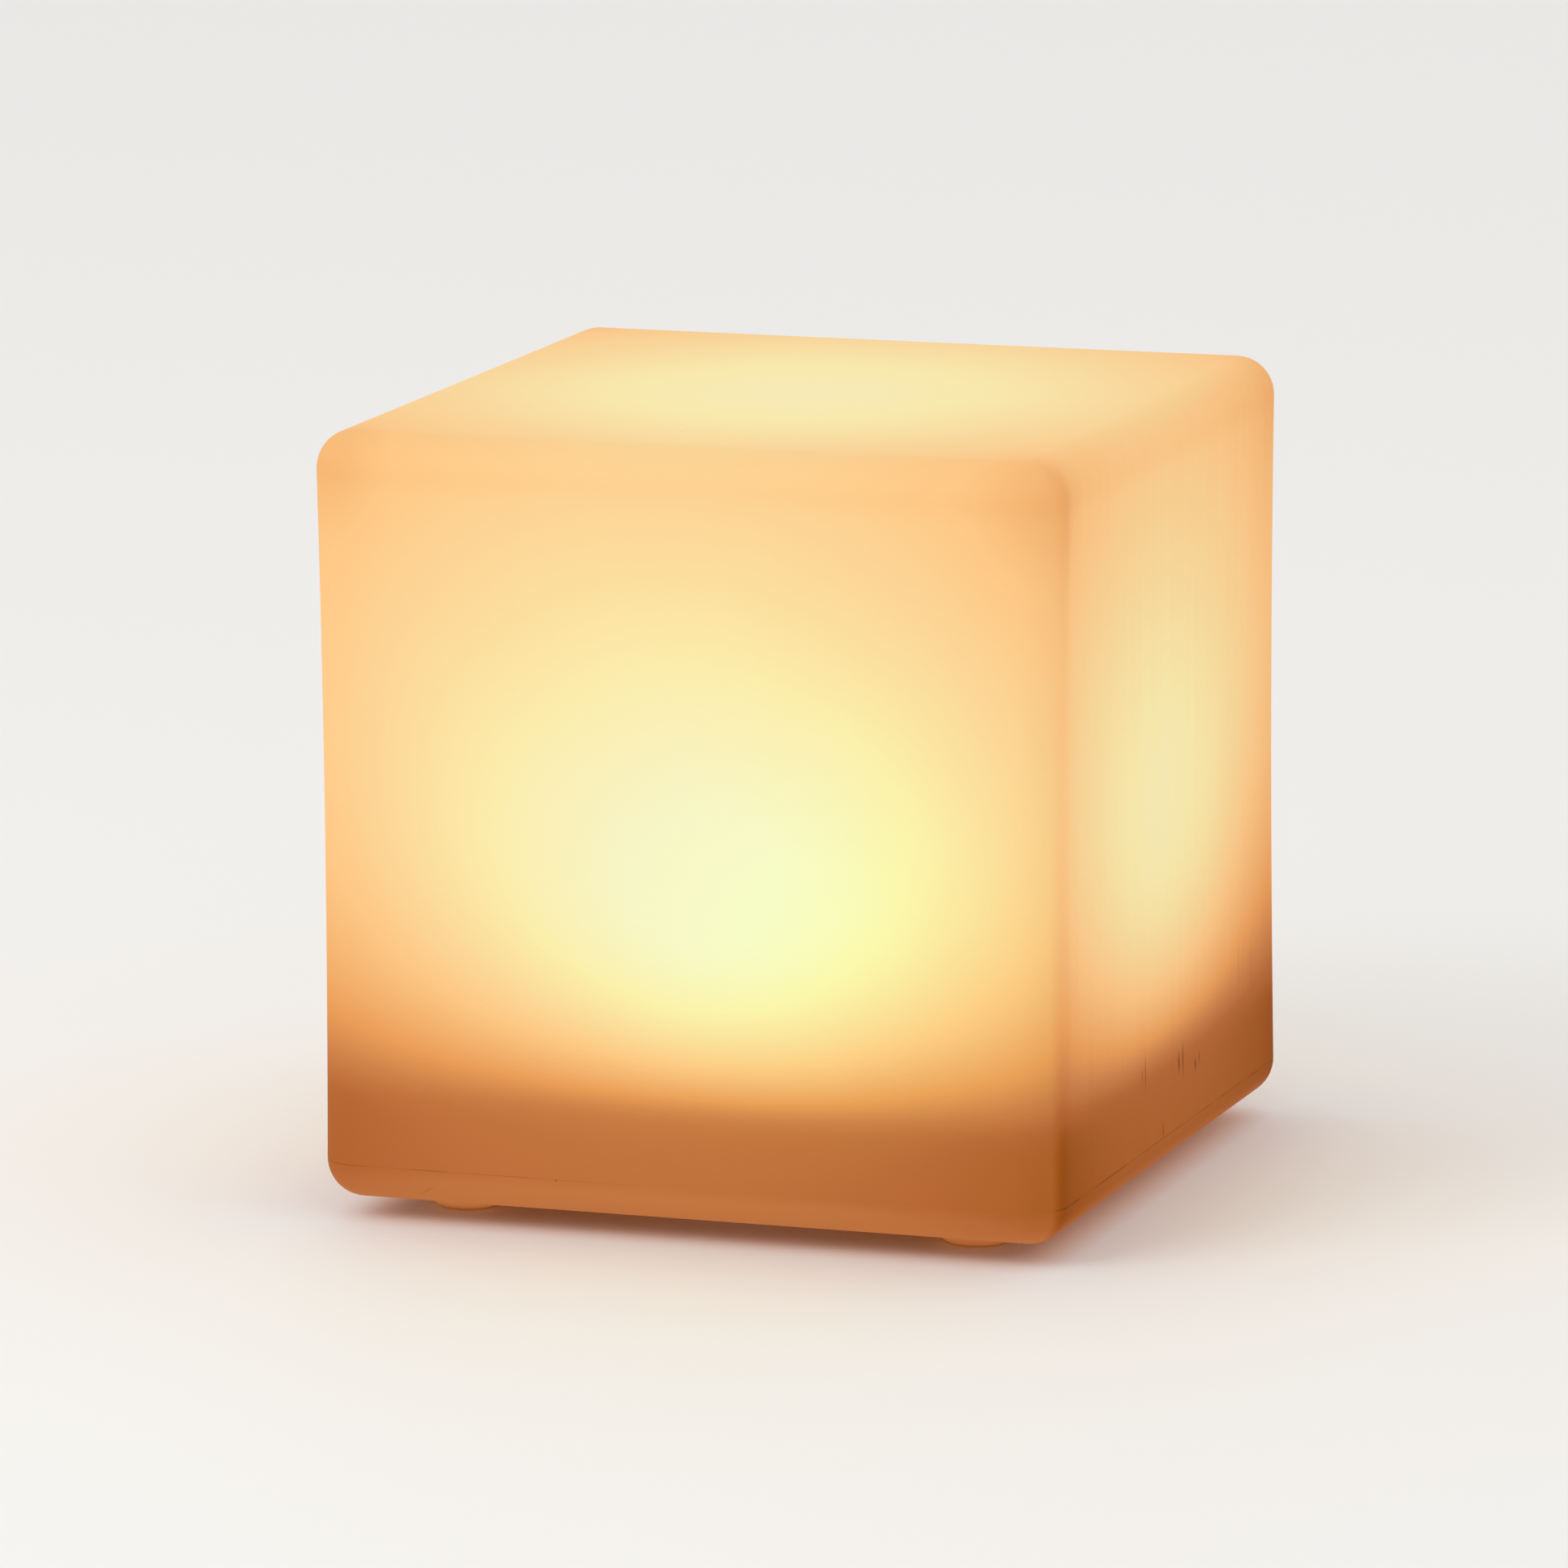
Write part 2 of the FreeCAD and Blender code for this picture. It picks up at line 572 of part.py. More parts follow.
def charging_jack():
    """The socket: a round nose through the roof, a square housing on the board, an open bore."""
    nose = disc(JACK_NOSE, JACK_Z, ROOF_TOP_Z, JACK_X, POCKET_Y)
    housing = square_bar(JACK_BODY, ROOF_TOP_Z, CONTROL_BOARD_Z, JACK_X, POCKET_Y)
    return joined([nose, housing]).cut(disc(JACK_BORE, JACK_Z, JACK_Z + JACK_BORE_DEPTH, JACK_X, POCKET_Y))


def jack_pin():
    return disc(JACK_PIN, JACK_Z + JACK_PIN_SINK, JACK_Z + JACK_BORE_DEPTH, JACK_X, POCKET_Y)


def charge_light_pipe():
    """A clear square rod that carries the charge light from the board to the pocket."""
    top = CONTROL_BOARD_Z - CHARGE_LIGHT_HEIGHT - CHARGE_LIGHT_GAP
    return square_bar(LIGHT_PIPE_SIDE, ROOF_Z - LIGHT_PIPE_PROUD, top, LIGHT_PIPE_X, POCKET_Y)


def port_bung():
    """The silicone bung: a disc with a shallow spigot, and a strap that ends at the bend."""
    half = BUNG_STRAP / 2
    cap = disc(BUNG_RADIUS, BUNG_Z, JACK_Z, JACK_X, POCKET_Y)
    strap = block(JACK_X, BUNG_BEND_X, POCKET_Y - half, POCKET_Y + half, BUNG_Z, JACK_Z)
    bend_start = Vector(BUNG_BEND_X, POCKET_Y - half, BUNG_Z + BUNG_BEND_RADIUS)
    bend = Part.makeCylinder(BUNG_BEND_RADIUS, BUNG_STRAP, bend_start, Vector(0, 1, 0))
    spigot = disc(BUNG_SPIGOT, JACK_Z, JACK_Z + BUNG_SPIGOT_HEIGHT, JACK_X, POCKET_Y)
    return joined([cap, strap, bend, spigot])


def bung_anchor():
    """The fixed end of the bung: a short post under the roof, held by a stem through it."""
    post = square_bar(ANCHOR_SIDE, BUNG_Z, ROOF_Z, ANCHOR_X, POCKET_Y)
    stem = square_bar(ANCHOR_STEM, ROOF_Z, ROOF_TOP_Z + ANCHOR_STEM_END, ANCHOR_X, POCKET_Y)
    return joined([post, stem])


def lead_section(centre, width):
    """The wire's section, level at its start: as thick as one core, and as wide as its cores."""
    half_x = width / 2
    half_y = LEAD_THICKNESS / 2
    sides = ((-half_x, -half_y), (half_x, -half_y), (half_x, half_y), (-half_x, half_y))
    corners = [centre + Vector(x, y, 0) for x, y in sides]
    return Part.makePolygon(corners + [corners[0]])


def lead(points, width):
    """A wire along straight runs joined by tangent arcs, each as wide as its runs allow."""
    corners = [Vector(*point) for point in points]
    edges = []
    radii = []
    here = corners[0]
    for before, corner, after in zip(corners, corners[1:], corners[2:]):
        back = (before - corner).normalize()
        ahead = (after - corner).normalize()
        turn = math.pi - back.getAngle(ahead)
        reach = LEAD_BEND_SHARE * min((corner - before).Length, (after - corner).Length)
        radius = reach / math.tan(turn / 2)
        inward = (back + ahead).normalize()
        start = corner + back * reach
        middle = corner + inward * (radius / math.cos(turn / 2) - radius)
        end = corner + ahead * reach
        edges.append(Part.LineSegment(here, start).toShape())
        edges.append(Part.Arc(start, middle, end).toShape())
        radii.append(round(radius, 1))
        here = end
    edges.append(Part.LineSegment(here, corners[-1]).toShape())
    path = Part.Wire(edges)
    print("lead radii", radii, "length", round(path.Length, 1))
    return path.makePipeShell([lead_section(corners[0], width)], True, False)


def led_lead():
    """A flat twin lead: from the plug, up through the board's slot, and flat onto the board."""
    on_board = LED_BOARD_TOP_Z + LEAD_THICKNESS / 2
    points = [
        (PLUG_X, PLUG_Y, PLUG_TOP_Z),
        (PLUG_X, PLUG_Y, PLUG_TOP_Z + LEAD_STRAIGHT),
        (PLUG_X, SLOT_Y, LED_BOARD_Z - LEAD_BELOW_BOARD),
        (PLUG_X, SLOT_Y, on_board),
        (PLUG_X, SLOT_Y + LEAD_END, on_board),
    ]
    return lead(points, 2 * LEAD_THICKNESS)


def battery_lead(side):
    """From the control board, over to the nearer cell, and down the tab at one end of it."""
    x = side * (TAB_FACE_X + LEAD_THICKNESS / 2)
    over_z = CONTROL_TOP_Z + BATTERY_LEAD_RISE
    row = CELL_ROWS[0]
    points = [
        (x, BATTERY_LEAD_Y, CONTROL_TOP_Z),
        (x, BATTERY_LEAD_Y, over_z),
        (x, row, over_z),
        (x, row, CELL_Z),
    ]
    return lead(points, LEAD_THICKNESS)


PIECES = {
    "cube_shell": cube_shell,
    "shell_inserts": shell_inserts,
    "module_base": module_base,
    "flange_seal": flange_seal,
    "flange_screws": flange_screws,
    "led_board": led_board,
    "led_chips": led_chips,
    "led_cover": led_cover,
    "battery_cells": battery_cells,
    "battery_tabs": battery_tabs,
    "battery_strap": battery_strap,
    "control_board": control_board,
    "power_coil": power_coil,
    "capacitor": capacitor,
    "controller_chip": controller_chip,
    "charge_light": charge_light,
    "led_plug": led_plug,
    "tact_switches": tact_switches,
    "power_plunger": lambda: plunger(POWER_X),
    "mode_plunger": lambda: plunger(MODE_X),
    "power_button": lambda: button(POWER_X),
    "mode_button": lambda: button(MODE_X),
    "charging_jack": charging_jack,
    "jack_pin": jack_pin,
    "charge_light_pipe": charge_light_pipe,
    "bung_anchor": bung_anchor,
    "port_bung": port_bung,
    "led_lead": led_lead,
    "battery_lead_red": lambda: battery_lead(1),
    "battery_lead_black": lambda: battery_lead(-1),
}

for name, make in PIECES.items():
    shape = make()
    shape.exportStep(f"parts/{name}.step")
    state = "valid" if shape.isValid() else "NOT VALID"
    print(name, len(shape.Solids), "solids", round(shape.Volume), "mm3", state)
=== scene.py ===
import math

import bpy
from mathutils import Matrix, Vector


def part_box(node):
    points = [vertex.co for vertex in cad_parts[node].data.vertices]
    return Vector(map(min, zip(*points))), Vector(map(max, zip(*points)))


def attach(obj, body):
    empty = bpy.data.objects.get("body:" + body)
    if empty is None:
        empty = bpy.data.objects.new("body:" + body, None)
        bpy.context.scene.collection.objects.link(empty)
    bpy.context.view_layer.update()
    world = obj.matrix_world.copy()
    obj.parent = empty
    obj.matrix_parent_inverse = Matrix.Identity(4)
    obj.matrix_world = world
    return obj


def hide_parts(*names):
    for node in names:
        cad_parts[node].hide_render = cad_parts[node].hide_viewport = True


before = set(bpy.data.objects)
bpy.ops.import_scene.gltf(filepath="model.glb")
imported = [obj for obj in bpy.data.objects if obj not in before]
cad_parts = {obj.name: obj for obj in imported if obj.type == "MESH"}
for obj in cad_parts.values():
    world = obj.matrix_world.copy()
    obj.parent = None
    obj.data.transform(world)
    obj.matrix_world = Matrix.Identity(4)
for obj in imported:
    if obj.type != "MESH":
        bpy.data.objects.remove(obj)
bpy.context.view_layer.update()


# ---- Camera --------------------------------------------------------------------------------
# The photograph was taken from far back with a long lens, a little above the cube and to the
# right of its front face, so that the front shows almost square and the right side is narrow.

CUBE_SIDE = 0.300
FOOT_HEIGHT = 0.0080
CAMERA_TURN = 0.33631
CAMERA_TILT = 0.19163
CAMERA_ROLL = -0.00781
CAMERA_DISTANCE = 13.9259 * CUBE_SIDE
AIM_ACROSS = -0.03037 * CUBE_SIDE
AIM_UP = -0.01808 * CUBE_SIDE
LENS_MM = 244.85
SENSOR_MM = 36.0
NEAREST_SEEN = 0.5
FARTHEST_SEEN = 60.0

level_back = math.cos(CAMERA_TILT)
back = Vector((
    math.sin(CAMERA_TURN) * level_back,
    -math.cos(CAMERA_TURN) * level_back,
    math.sin(CAMERA_TILT),
))
right = Vector((math.cos(CAMERA_TURN), math.sin(CAMERA_TURN), 0.0))
up = back.cross(right)
aim = Vector((0.0, 0.0, FOOT_HEIGHT + CUBE_SIDE / 2)) + right * AIM_ACROSS + up * AIM_UP
rolled_right = right * math.cos(CAMERA_ROLL) + up * math.sin(CAMERA_ROLL)
rolled_up = up * math.cos(CAMERA_ROLL) - right * math.sin(CAMERA_ROLL)

photo_camera = bpy.data.cameras.new("photo_camera")
photo_camera.lens = LENS_MM
photo_camera.sensor_width = SENSOR_MM
photo_camera.clip_start = NEAREST_SEEN
photo_camera.clip_end = FARTHEST_SEEN
camera = bpy.data.objects.new("photo_camera", photo_camera)
bpy.context.scene.collection.objects.link(camera)
bpy.context.scene.camera = camera
camera_axes = Matrix((rolled_right, rolled_up, back)).transposed()
camera.matrix_world = Matrix.Translation(aim + back * CAMERA_DISTANCE) @ camera_axes.to_4x4()


# ---- Shell: form -----------------------------------------------------------------------------
# One hollow moulding of milky polyethylene, spun in a heated mould: a cube with soft edges whose
# walls have shrunk in a little, four low feet, and a round recessed seat sawn open underneath.

CORNER_RADIUS = 0.0155
WALL = 0.003
WALL_BOW = 0.0010
TOP_BOW = 0.0005
CORNER_STEPS = 12
CUTS_EACH_WAY = 11
FOOT_RADIUS = 0.0148
FOOT_PLACE = CUBE_SIDE / 2 - 0.046
FOOT_ROUNDING = 0.0040
FOOT_FLARE = 0.0015
FOOT_SIDES = 64
SEAT_RADIUS = 0.077
SEAT_DEPTH = 0.006
OPENING_RADIUS = 0.060
BOSS_CIRCLE = 0.0685
BOSS_RADIUS = 0.0069
BOSS_HEIGHT = 0.0135
INSERT_RADIUS = 0.00345
INSERT_DEPTH = 0.010
HEXAGON_TURN = math.pi / 2
PAST_SHELL = 0.010             # how far a cutting solid stands out past the shell
PAST_PART = 0.001              # and past a small part
TINY = 0.0001                  # tells one level of points from the next

half_side = CUBE_SIDE / 2
cube_middle = FOOT_HEIGHT + half_side
seat_level = FOOT_HEIGHT + SEAT_DEPTH


def select_nothing():
    if bpy.context.mode != "OBJECT":
        bpy.ops.object.mode_set(mode="OBJECT")
    bpy.ops.object.select_all(action="DESELECT")


def work_on(piece):
    """Leaves edit mode and makes the piece the only selected object."""
    select_nothing()
    piece.select_set(True)
    bpy.context.view_layer.objects.active = piece


def added(name):
    """The primitive that was added last, named, with its place moved into its mesh."""
    piece = bpy.context.object
    piece.name = name
    work_on(piece)
    bpy.ops.object.transform_apply(location=True, rotation=True, scale=True)
    return piece


def upright_cylinder(name, radius, low, high, x=0.0, y=0.0, sides=96, turned=0.0):
    select_nothing()
    middle = (x, y, (low + high) / 2)
    bpy.ops.mesh.primitive_cylinder_add(
        vertices=sides, radius=radius, depth=high - low, location=middle, rotation=(0, 0, turned))
    return added(name)


def block(name, low, high):
    """A box between two corners."""
    low = Vector(low)
    high = Vector(high)
    select_nothing()
    bpy.ops.mesh.primitive_cube_add(size=1.0, location=(low + high) / 2)
    bpy.context.object.scale = high - low
    return added(name)


def pick(piece, domain, wanted):
    """Opens the piece in edit mode with only the wanted faces or edges selected."""
    work_on(piece)
    bpy.ops.object.mode_set(mode="EDIT")
    bpy.ops.mesh.select_mode(type=domain)
    bpy.ops.mesh.select_all(action="DESELECT")
    bpy.ops.object.mode_set(mode="OBJECT")
    points = piece.data.vertices
    if domain == "FACE":
        for face in piece.data.polygons:
            face.select = wanted(face.center, face.normal)
    else:
        for edge in piece.data.edges:
            edge.select = all(wanted(points[index].co) for index in edge.vertices)
    bpy.ops.object.mode_set(mode="EDIT")


def apply_modifier(piece, kind, **settings):
    modifier = piece.modifiers.new(kind.lower(), kind)
    for name, value in settings.items():
        setattr(modifier, name, value)
    work_on(piece)
    bpy.ops.object.modifier_apply(modifier=modifier.name)


def join_solid(piece, solid):
    apply_modifier(piece, "BOOLEAN", operation="UNION", solver="EXACT", object=solid)
    bpy.data.objects.remove(solid)


def cut_away(piece, solid):
    apply_modifier(piece, "BOOLEAN", operation="DIFFERENCE", solver="EXACT", object=solid)
    bpy.data.objects.remove(solid)


def ease_edges(piece, width, segments=2, sharper_than=40.0):
    apply_modifier(piece, "BEVEL", width=width, segments=segments, limit_method="ANGLE",
                   angle_limit=math.radians(sharper_than))


def smooth(piece, degrees=30.0):
    """Smooth shading over the soft edges, with the flats kept flat."""
    work_on(piece)
    bpy.ops.object.shade_smooth_by_angle(angle=math.radians(degrees))
    apply_modifier(piece, "WEIGHTED_NORMAL", keep_sharp=True)


select_nothing()
bpy.ops.mesh.primitive_cube_add(size=CUBE_SIDE, location=(0.0, 0.0, cube_middle))
shell = added("milky_shell")
pick(shell, "FACE", lambda centre, normal: True)
bpy.ops.mesh.bevel(offset=CORNER_RADIUS, segments=CORNER_STEPS, affect="EDGES")
flat_reach = half_side - CORNER_RADIUS
cut_pitch = flat_reach / (CUTS_EACH_WAY + 0.5)
for axis in range(3):
    direction = Vector([1.0 if index == axis else 0.0 for index in range(3)])
    for step in range(-CUTS_EACH_WAY, CUTS_EACH_WAY + 1):
        cut_place = Vector((0.0, 0.0, cube_middle)) + direction * (step * cut_pitch)
        bpy.ops.mesh.select_all(action="SELECT")
        bpy.ops.mesh.bisect(plane_co=cut_place, plane_no=direction)
bpy.ops.object.mode_set(mode="OBJECT")

# The walls have drawn in towards mid-height, and the top towards its middle.
for vertex in shell.data.vertices:
    x, y, z = vertex.co
    up_the_wall = (z - cube_middle) / half_side
    draw = 1.0 - WALL_BOW / half_side * (1.0 - up_the_wall ** 2)
    top_draw = max(up_the_wall, 0.0) * (1.0 - (x / half_side) ** 2) * (1.0 - (y / half_side) ** 2)
    vertex.co = (x * draw, y * draw, z - TOP_BOW * top_draw)

# A foot is a short stub with a well rounded sole, which flares into the underside.
foot_top = FOOT_HEIGHT + WALL / 2
flare_low = FOOT_HEIGHT - FOOT_FLARE
flare_radius = FOOT_RADIUS + FOOT_FLARE
for x, y in [(x, y) for x in (-FOOT_PLACE, FOOT_PLACE) for y in (-FOOT_PLACE, FOOT_PLACE)]:
    foot = upright_cylinder("foot", FOOT_RADIUS, 0.0, foot_top, x, y, FOOT_SIDES)
    pick(foot, "EDGE", lambda point: point.z < TINY)
    bpy.ops.mesh.bevel(offset=FOOT_ROUNDING, segments=8, affect="EDGES")
    flare = upright_cylinder("flare", flare_radius, flare_low, foot_top, x, y, FOOT_SIDES)
    pick(flare, "FACE", lambda centre, normal: normal.z < -0.9)
    shrink = (FOOT_RADIUS - FOOT_FLARE / 2) / flare_radius
    bpy.ops.transform.resize(value=(shrink, shrink, 1.0), center_override=(x, y, FOOT_HEIGHT))
    join_solid(foot, flare)
    join_solid(shell, foot)
cut_away(shell, upright_cylinder("seat", SEAT_RADIUS, -PAST_SHELL, seat_level, sides=160))

# The plastic coats the whole mould evenly, so the wall is one thickness all over.
apply_modifier(shell, "SOLIDIFY", thickness=WALL, offset=-1.0)
boss_low = seat_level + WALL / 2
boss_top = seat_level + BOSS_HEIGHT
socket_low = seat_level - WALL
socket_top = seat_level + INSERT_DEPTH
for quarter in range(4):
    angle = math.radians(45.0 + 90.0 * quarter)
    x = BOSS_CIRCLE * math.cos(angle)
    y = BOSS_CIRCLE * math.sin(angle)
    boss = upright_cylinder("boss", BOSS_RADIUS, boss_low, boss_top, x, y, 6, HEXAGON_TURN)
    join_solid(shell, boss)
    socket = upright_cylinder("socket", INSERT_RADIUS, socket_low, socket_top, x, y, 6, HEXAGON_TURN)
    cut_away(shell, socket)
opening = upright_cylinder("opening", OPENING_RADIUS, -PAST_SHELL, seat_level + 2 * WALL, sides=128)
cut_away(shell, opening)
smooth(shell)
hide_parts("cube_shell")
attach(shell, "lamp")


# ---- Shell: glow -----------------------------------------------------------------------------
# Warm white LEDs lie flat on a board 42 mm above the underside. The wall scatters what reaches
# it, so it glows most beside and above the board, and stays amber below it.

# The side walls get less gain than the wide walls, and the top is dimmed too: painted shade, standing for
# walls seen at a slant.
WIDE_WALL = {"low": 0.1446, "throw": 0.468, "shift": 0.047, "gain": 0.599, "dusk": 0.120, "loss": 2.63,
             "tilt": -0.157, "flare": 0.928, "climb": 0.352}
SIDE_WALL = {"low": 0.1463, "throw": 0.540, "shift": -0.030, "gain": 0.646, "dusk": 0.062, "loss": 3.08,
             "tilt": -0.044, "flare": 0.672, "climb": 0.294}
TOP_THROW = 1.144
TOP_GLOW = 0.314
TOP_EVEN = 0.872
RIM_GLOW = 0.225
UNDERSIDE_GLOW = 0.035
UNDERSIDE_RIM = (0.41, 0.475)
SOFT_START = 0.018
SPREAD = 0.70
TANGENT = 0.448
EDGE_TURN = (0.02, 0.45)

glow = bpy.data.materials.new("milky_polyethylene")
glow.use_nodes = True
nodes = glow.node_tree.nodes
links = glow.node_tree.links
plastic = nodes["Principled BSDF"]


def feed(socket, value):
    """Gives a node's input another node's output, or a plain value."""
    if isinstance(value, bpy.types.NodeSocket):
        socket.id_data.links.new(value, socket)
    else:
        socket.default_value = value


def calc(operation, *values):
    """A Math node in the material that is being built."""
    node = nodes.new("ShaderNodeMath")
    node.operation = operation
    for socket, value in zip(node.inputs, values):
        feed(socket, value)
    return node.outputs[0]


def total(*values):
    result = values[0]
    for value in values[1:]:
        result = calc("ADD", result, value)
    return result


def product(*values):
    result = values[0]
    for value in values[1:]:
        result = calc("MULTIPLY", result, value)
    return result


def square(value):
    return calc("MULTIPLY", value, value)


def rise(value, low, high, start=0.0, end=1.0):
    """Goes smoothly from start to end while the value goes from low to high."""
    node = nodes.new("ShaderNodeMapRange")
    node.interpolation_type = "SMOOTHSTEP"
    feed(node.inputs["Value"], value)
    for name, number in (("From Min", low), ("From Max", high), ("To Min", start), ("To Max", end)):
        node.inputs[name].default_value = number
    return node.outputs["Result"]


def linear(red, green, blue):
    """A screen colour, 0 to 255, as the linear colour that Blender works in."""
    parts = [part / 255.0 for part in (red, green, blue)]
    return [part / 12.92 if part < 0.04045 else ((part + 0.055) / 1.055) ** 2.4 for part in parts] + [1.0]


coordinates = nodes.new("ShaderNodeTexCoord")
spot = coordinates.outputs["Object"]
place = nodes.new("ShaderNodeSeparateXYZ")
links.new(spot, place.inputs[0])
geometry = nodes.new("ShaderNodeNewGeometry")
facing = nodes.new("ShaderNodeSeparateXYZ")
links.new(geometry.outputs["Normal"], facing.inputs[0])

across = calc("DIVIDE", place.outputs["X"], CUBE_SIDE)
along = calc("DIVIDE", place.outputs["Y"], CUBE_SIDE)
height = calc("DIVIDE", calc("SUBTRACT", place.outputs["Z"], FOOT_HEIGHT), CUBE_SIDE)
from_axis = total(square(across), square(along))
past_wall = calc("MAXIMUM", calc("SUBTRACT", from_axis, 0.25), 0.0)


def wall_glow(sideways, low, throw, shift, gain, dusk, loss, tilt, flare, climb):
    """Light on an upright wall: a pool thrown up from the board, over the dusk below it."""
    over = calc("SUBTRACT", height, low)
    upward = product(total(over, calc("SQRT", calc("ADD", square(over), SOFT_START ** 2))), 0.5)
    reach = total(square(calc("SUBTRACT", sideways, shift)), square(upward), throw ** 2)
    pool = calc("DIVIDE", product(upward, throw * gain), square(reach))
    low_light = calc("MULTIPLY_ADD", past_wall, -loss * dusk, dusk)
    light = calc("POWER", calc("MAXIMUM", total(pool, low_light), 0.0), SPREAD)
    slopes = total(product(sideways, tilt), product(past_wall, flare), product(height, climb))
    return product(light, total(slopes, 1.0 - climb / 2))


wide_wall = wall_glow(across, **WIDE_WALL)
side_wall = wall_glow(along, **SIDE_WALL)
top_pool = calc("DIVIDE", TOP_THROW ** 2, square(calc("ADD", from_axis, TOP_THROW ** 2)))
top_wall = product(square(calc("ADD", top_pool, TOP_EVEN)), TOP_GLOW)

# An upright edge glows like the wide wall that it belongs to, and the other wall starts behind it.
# Underneath, the light fades towards the module, which stands in its way.
top_share = square(calc("MAXIMUM", facing.outputs["Z"], 0.0))
under_share = square(calc("MINIMUM", facing.outputs["Z"], 0.0))
from_middle_x = calc("ABSOLUTE", across)
from_middle_y = calc("ABSOLUTE", along)
outward = calc("MAXIMUM", from_middle_x, from_middle_y)
underside = rise(outward, *UNDERSIDE_RIM, UNDERSIDE_GLOW, RIM_GLOW)
faces_sideways = square(facing.outputs["X"])
faces_along = square(facing.outputs["Y"])
upright_share = total(faces_sideways, faces_along)
turned_along = calc("DIVIDE", faces_along, calc("ADD", upright_share, 0.0001))
wide_part = rise(turned_along, *EDGE_TURN)
wide_share = product(upright_share, wide_part)
side_share = product(upright_share, calc("SUBTRACT", 1.0, wide_part))
level = total(
    product(wide_share, wide_wall),
    product(side_share, side_wall),
    product(top_share, top_wall),
    product(under_share, underside),
)


def ridge(value, middle, width):
    """One at the middle, falling smoothly to nothing a width away on both sides."""
    return rise(calc("ABSOLUTE", calc("SUBTRACT", value, middle)), 0.0, width, 1.0, 0.0)


# Painted shade: the glow is drawn darker where a side wall starts behind its front edge, along the top
# edges, and most of all in the upper corners. Low down, the wide walls are painted lighter with light
# bounced up from below, and the side walls a little darker.
EDGE_LINE_WIDTH = 0.034
EDGE_LINE_RISE = (0.78, 0.93, 0.055, 0.090)
TOP_LINE = (0.948, 0.030)
TOP_LINE_DEPTH = 0.030
CORNER_ACROSS = (0.37, 0.46)
CORNER_UP = (0.84, 0.93)
CORNER_DEPTH = 0.06
STRIP_FADE = (0.030, 0.054, 1.0, 0.0)
WIDE_STRIP_DEPTH = -0.16
SIDE_STRIP_DEPTH = 0.12
edge_shade = product(side_share, ridge(along, -TANGENT, EDGE_LINE_WIDTH), rise(height, *EDGE_LINE_RISE))
top_edge_shade = product(upright_share, ridge(height, *TOP_LINE), TOP_LINE_DEPTH)
near_corner = product(rise(from_middle_x, *CORNER_ACROSS), rise(from_middle_y, *CORNER_ACROSS))
corner_shade = product(near_corner, rise(height, *CORNER_UP), CORNER_DEPTH)
strip_depth = total(product(wide_share, WIDE_STRIP_DEPTH), product(side_share, SIDE_STRIP_DEPTH))
low_bounce_and_shade = product(strip_depth, rise(height, *STRIP_FADE))
painted_shade_and_bounce = total(edge_shade, top_edge_shade, corner_shade, low_bounce_and_shade)

# Powder that melts a little unevenly leaves soft clouds and a fine grain in the wall, and the
# mould has left faint upright streaks in the side walls.
CLOUD_SCALE = 14.0
GRAIN_SCALE = 900.0
STREAK_SCALE = 1.6
STREAK_STRETCH = (90.0, 90.0, 5.0)


def noise(where, scale, detail):
    """The value of a noise texture at a place."""
    texture = nodes.new("ShaderNodeTexNoise")
    texture.inputs["Scale"].default_value = scale
    texture.inputs["Detail"].default_value = detail
    links.new(where, texture.inputs["Vector"])
    return texture.outputs["Fac"]


clouds = noise(spot, CLOUD_SCALE, 3.0)
grain = noise(spot, GRAIN_SCALE, 2.0)
upright_stretch = nodes.new("ShaderNodeMapping")
upright_stretch.inputs["Scale"].default_value = STREAK_STRETCH
links.new(spot, upright_stretch.inputs["Vector"])
streaks = noise(upright_stretch.outputs[0], STREAK_SCALE, 3.0)
uneven = total(
    calc("MULTIPLY_ADD", clouds, 0.05, 0.975),
    calc("MULTIPLY_ADD", grain, 0.02, -0.010),
    product(side_share, calc("MULTIPLY_ADD", streaks, 0.08, -0.04)),
)
level = product(level, calc("SUBTRACT", 1.0, painted_shade_and_bounce), uneven)

GLOW_COLOURS = (
    (0.020, (112, 56, 15)),
    (0.087, (158, 82, 22)),
    (0.127, (174, 97, 42)),
    (0.168, (184, 105, 54)),
    (0.254, (206, 130, 73)),
    (0.352, (234, 158, 89)),
    (0.546, (252, 198, 133)),
    (0.658, (250, 215, 153)),
    (0.791, (250, 234, 171)),
    (0.940, (246, 238, 198)),
)
ramp = nodes.new("ShaderNodeValToRGB")
stops = ramp.color_ramp.elements
stops.remove(stops[1])
stops[0].position = GLOW_COLOURS[0][0]
stops[0].color = linear(*GLOW_COLOURS[0][1])
for position, colour in GLOW_COLOURS[1:]:
    stops.new(position).color = linear(*colour)
links.new(level, ramp.inputs["Fac"])

# Low on the front, to one side of the middle, the light is more yellow.
YELLOW_SPOT = (0.204, 0.382)
YELLOW_REACH = (0.329, 0.243)
YELLOW_GAIN = 0.148
sideways_off = calc("DIVIDE", calc("SUBTRACT", across, YELLOW_SPOT[0]), YELLOW_REACH[0])
upward_off = calc("DIVIDE", calc("SUBTRACT", height, YELLOW_SPOT[1]), YELLOW_REACH[1])
nearness = calc("EXPONENT", product(total(square(sideways_off), square(upward_off)), -1.0))
yellow = nodes.new("ShaderNodeCombineXYZ")
yellow.inputs["X"].default_value = 1.0
yellow.inputs["Z"].default_value = 1.0
faces_front = product(wide_share, calc("LESS_THAN", facing.outputs["Y"], 0.0))
links.new(calc("MULTIPLY_ADD", product(nearness, faces_front), YELLOW_GAIN, 1.0), yellow.inputs["Y"])
tinted = nodes.new("ShaderNodeVectorMath")
tinted.operation = "MULTIPLY"
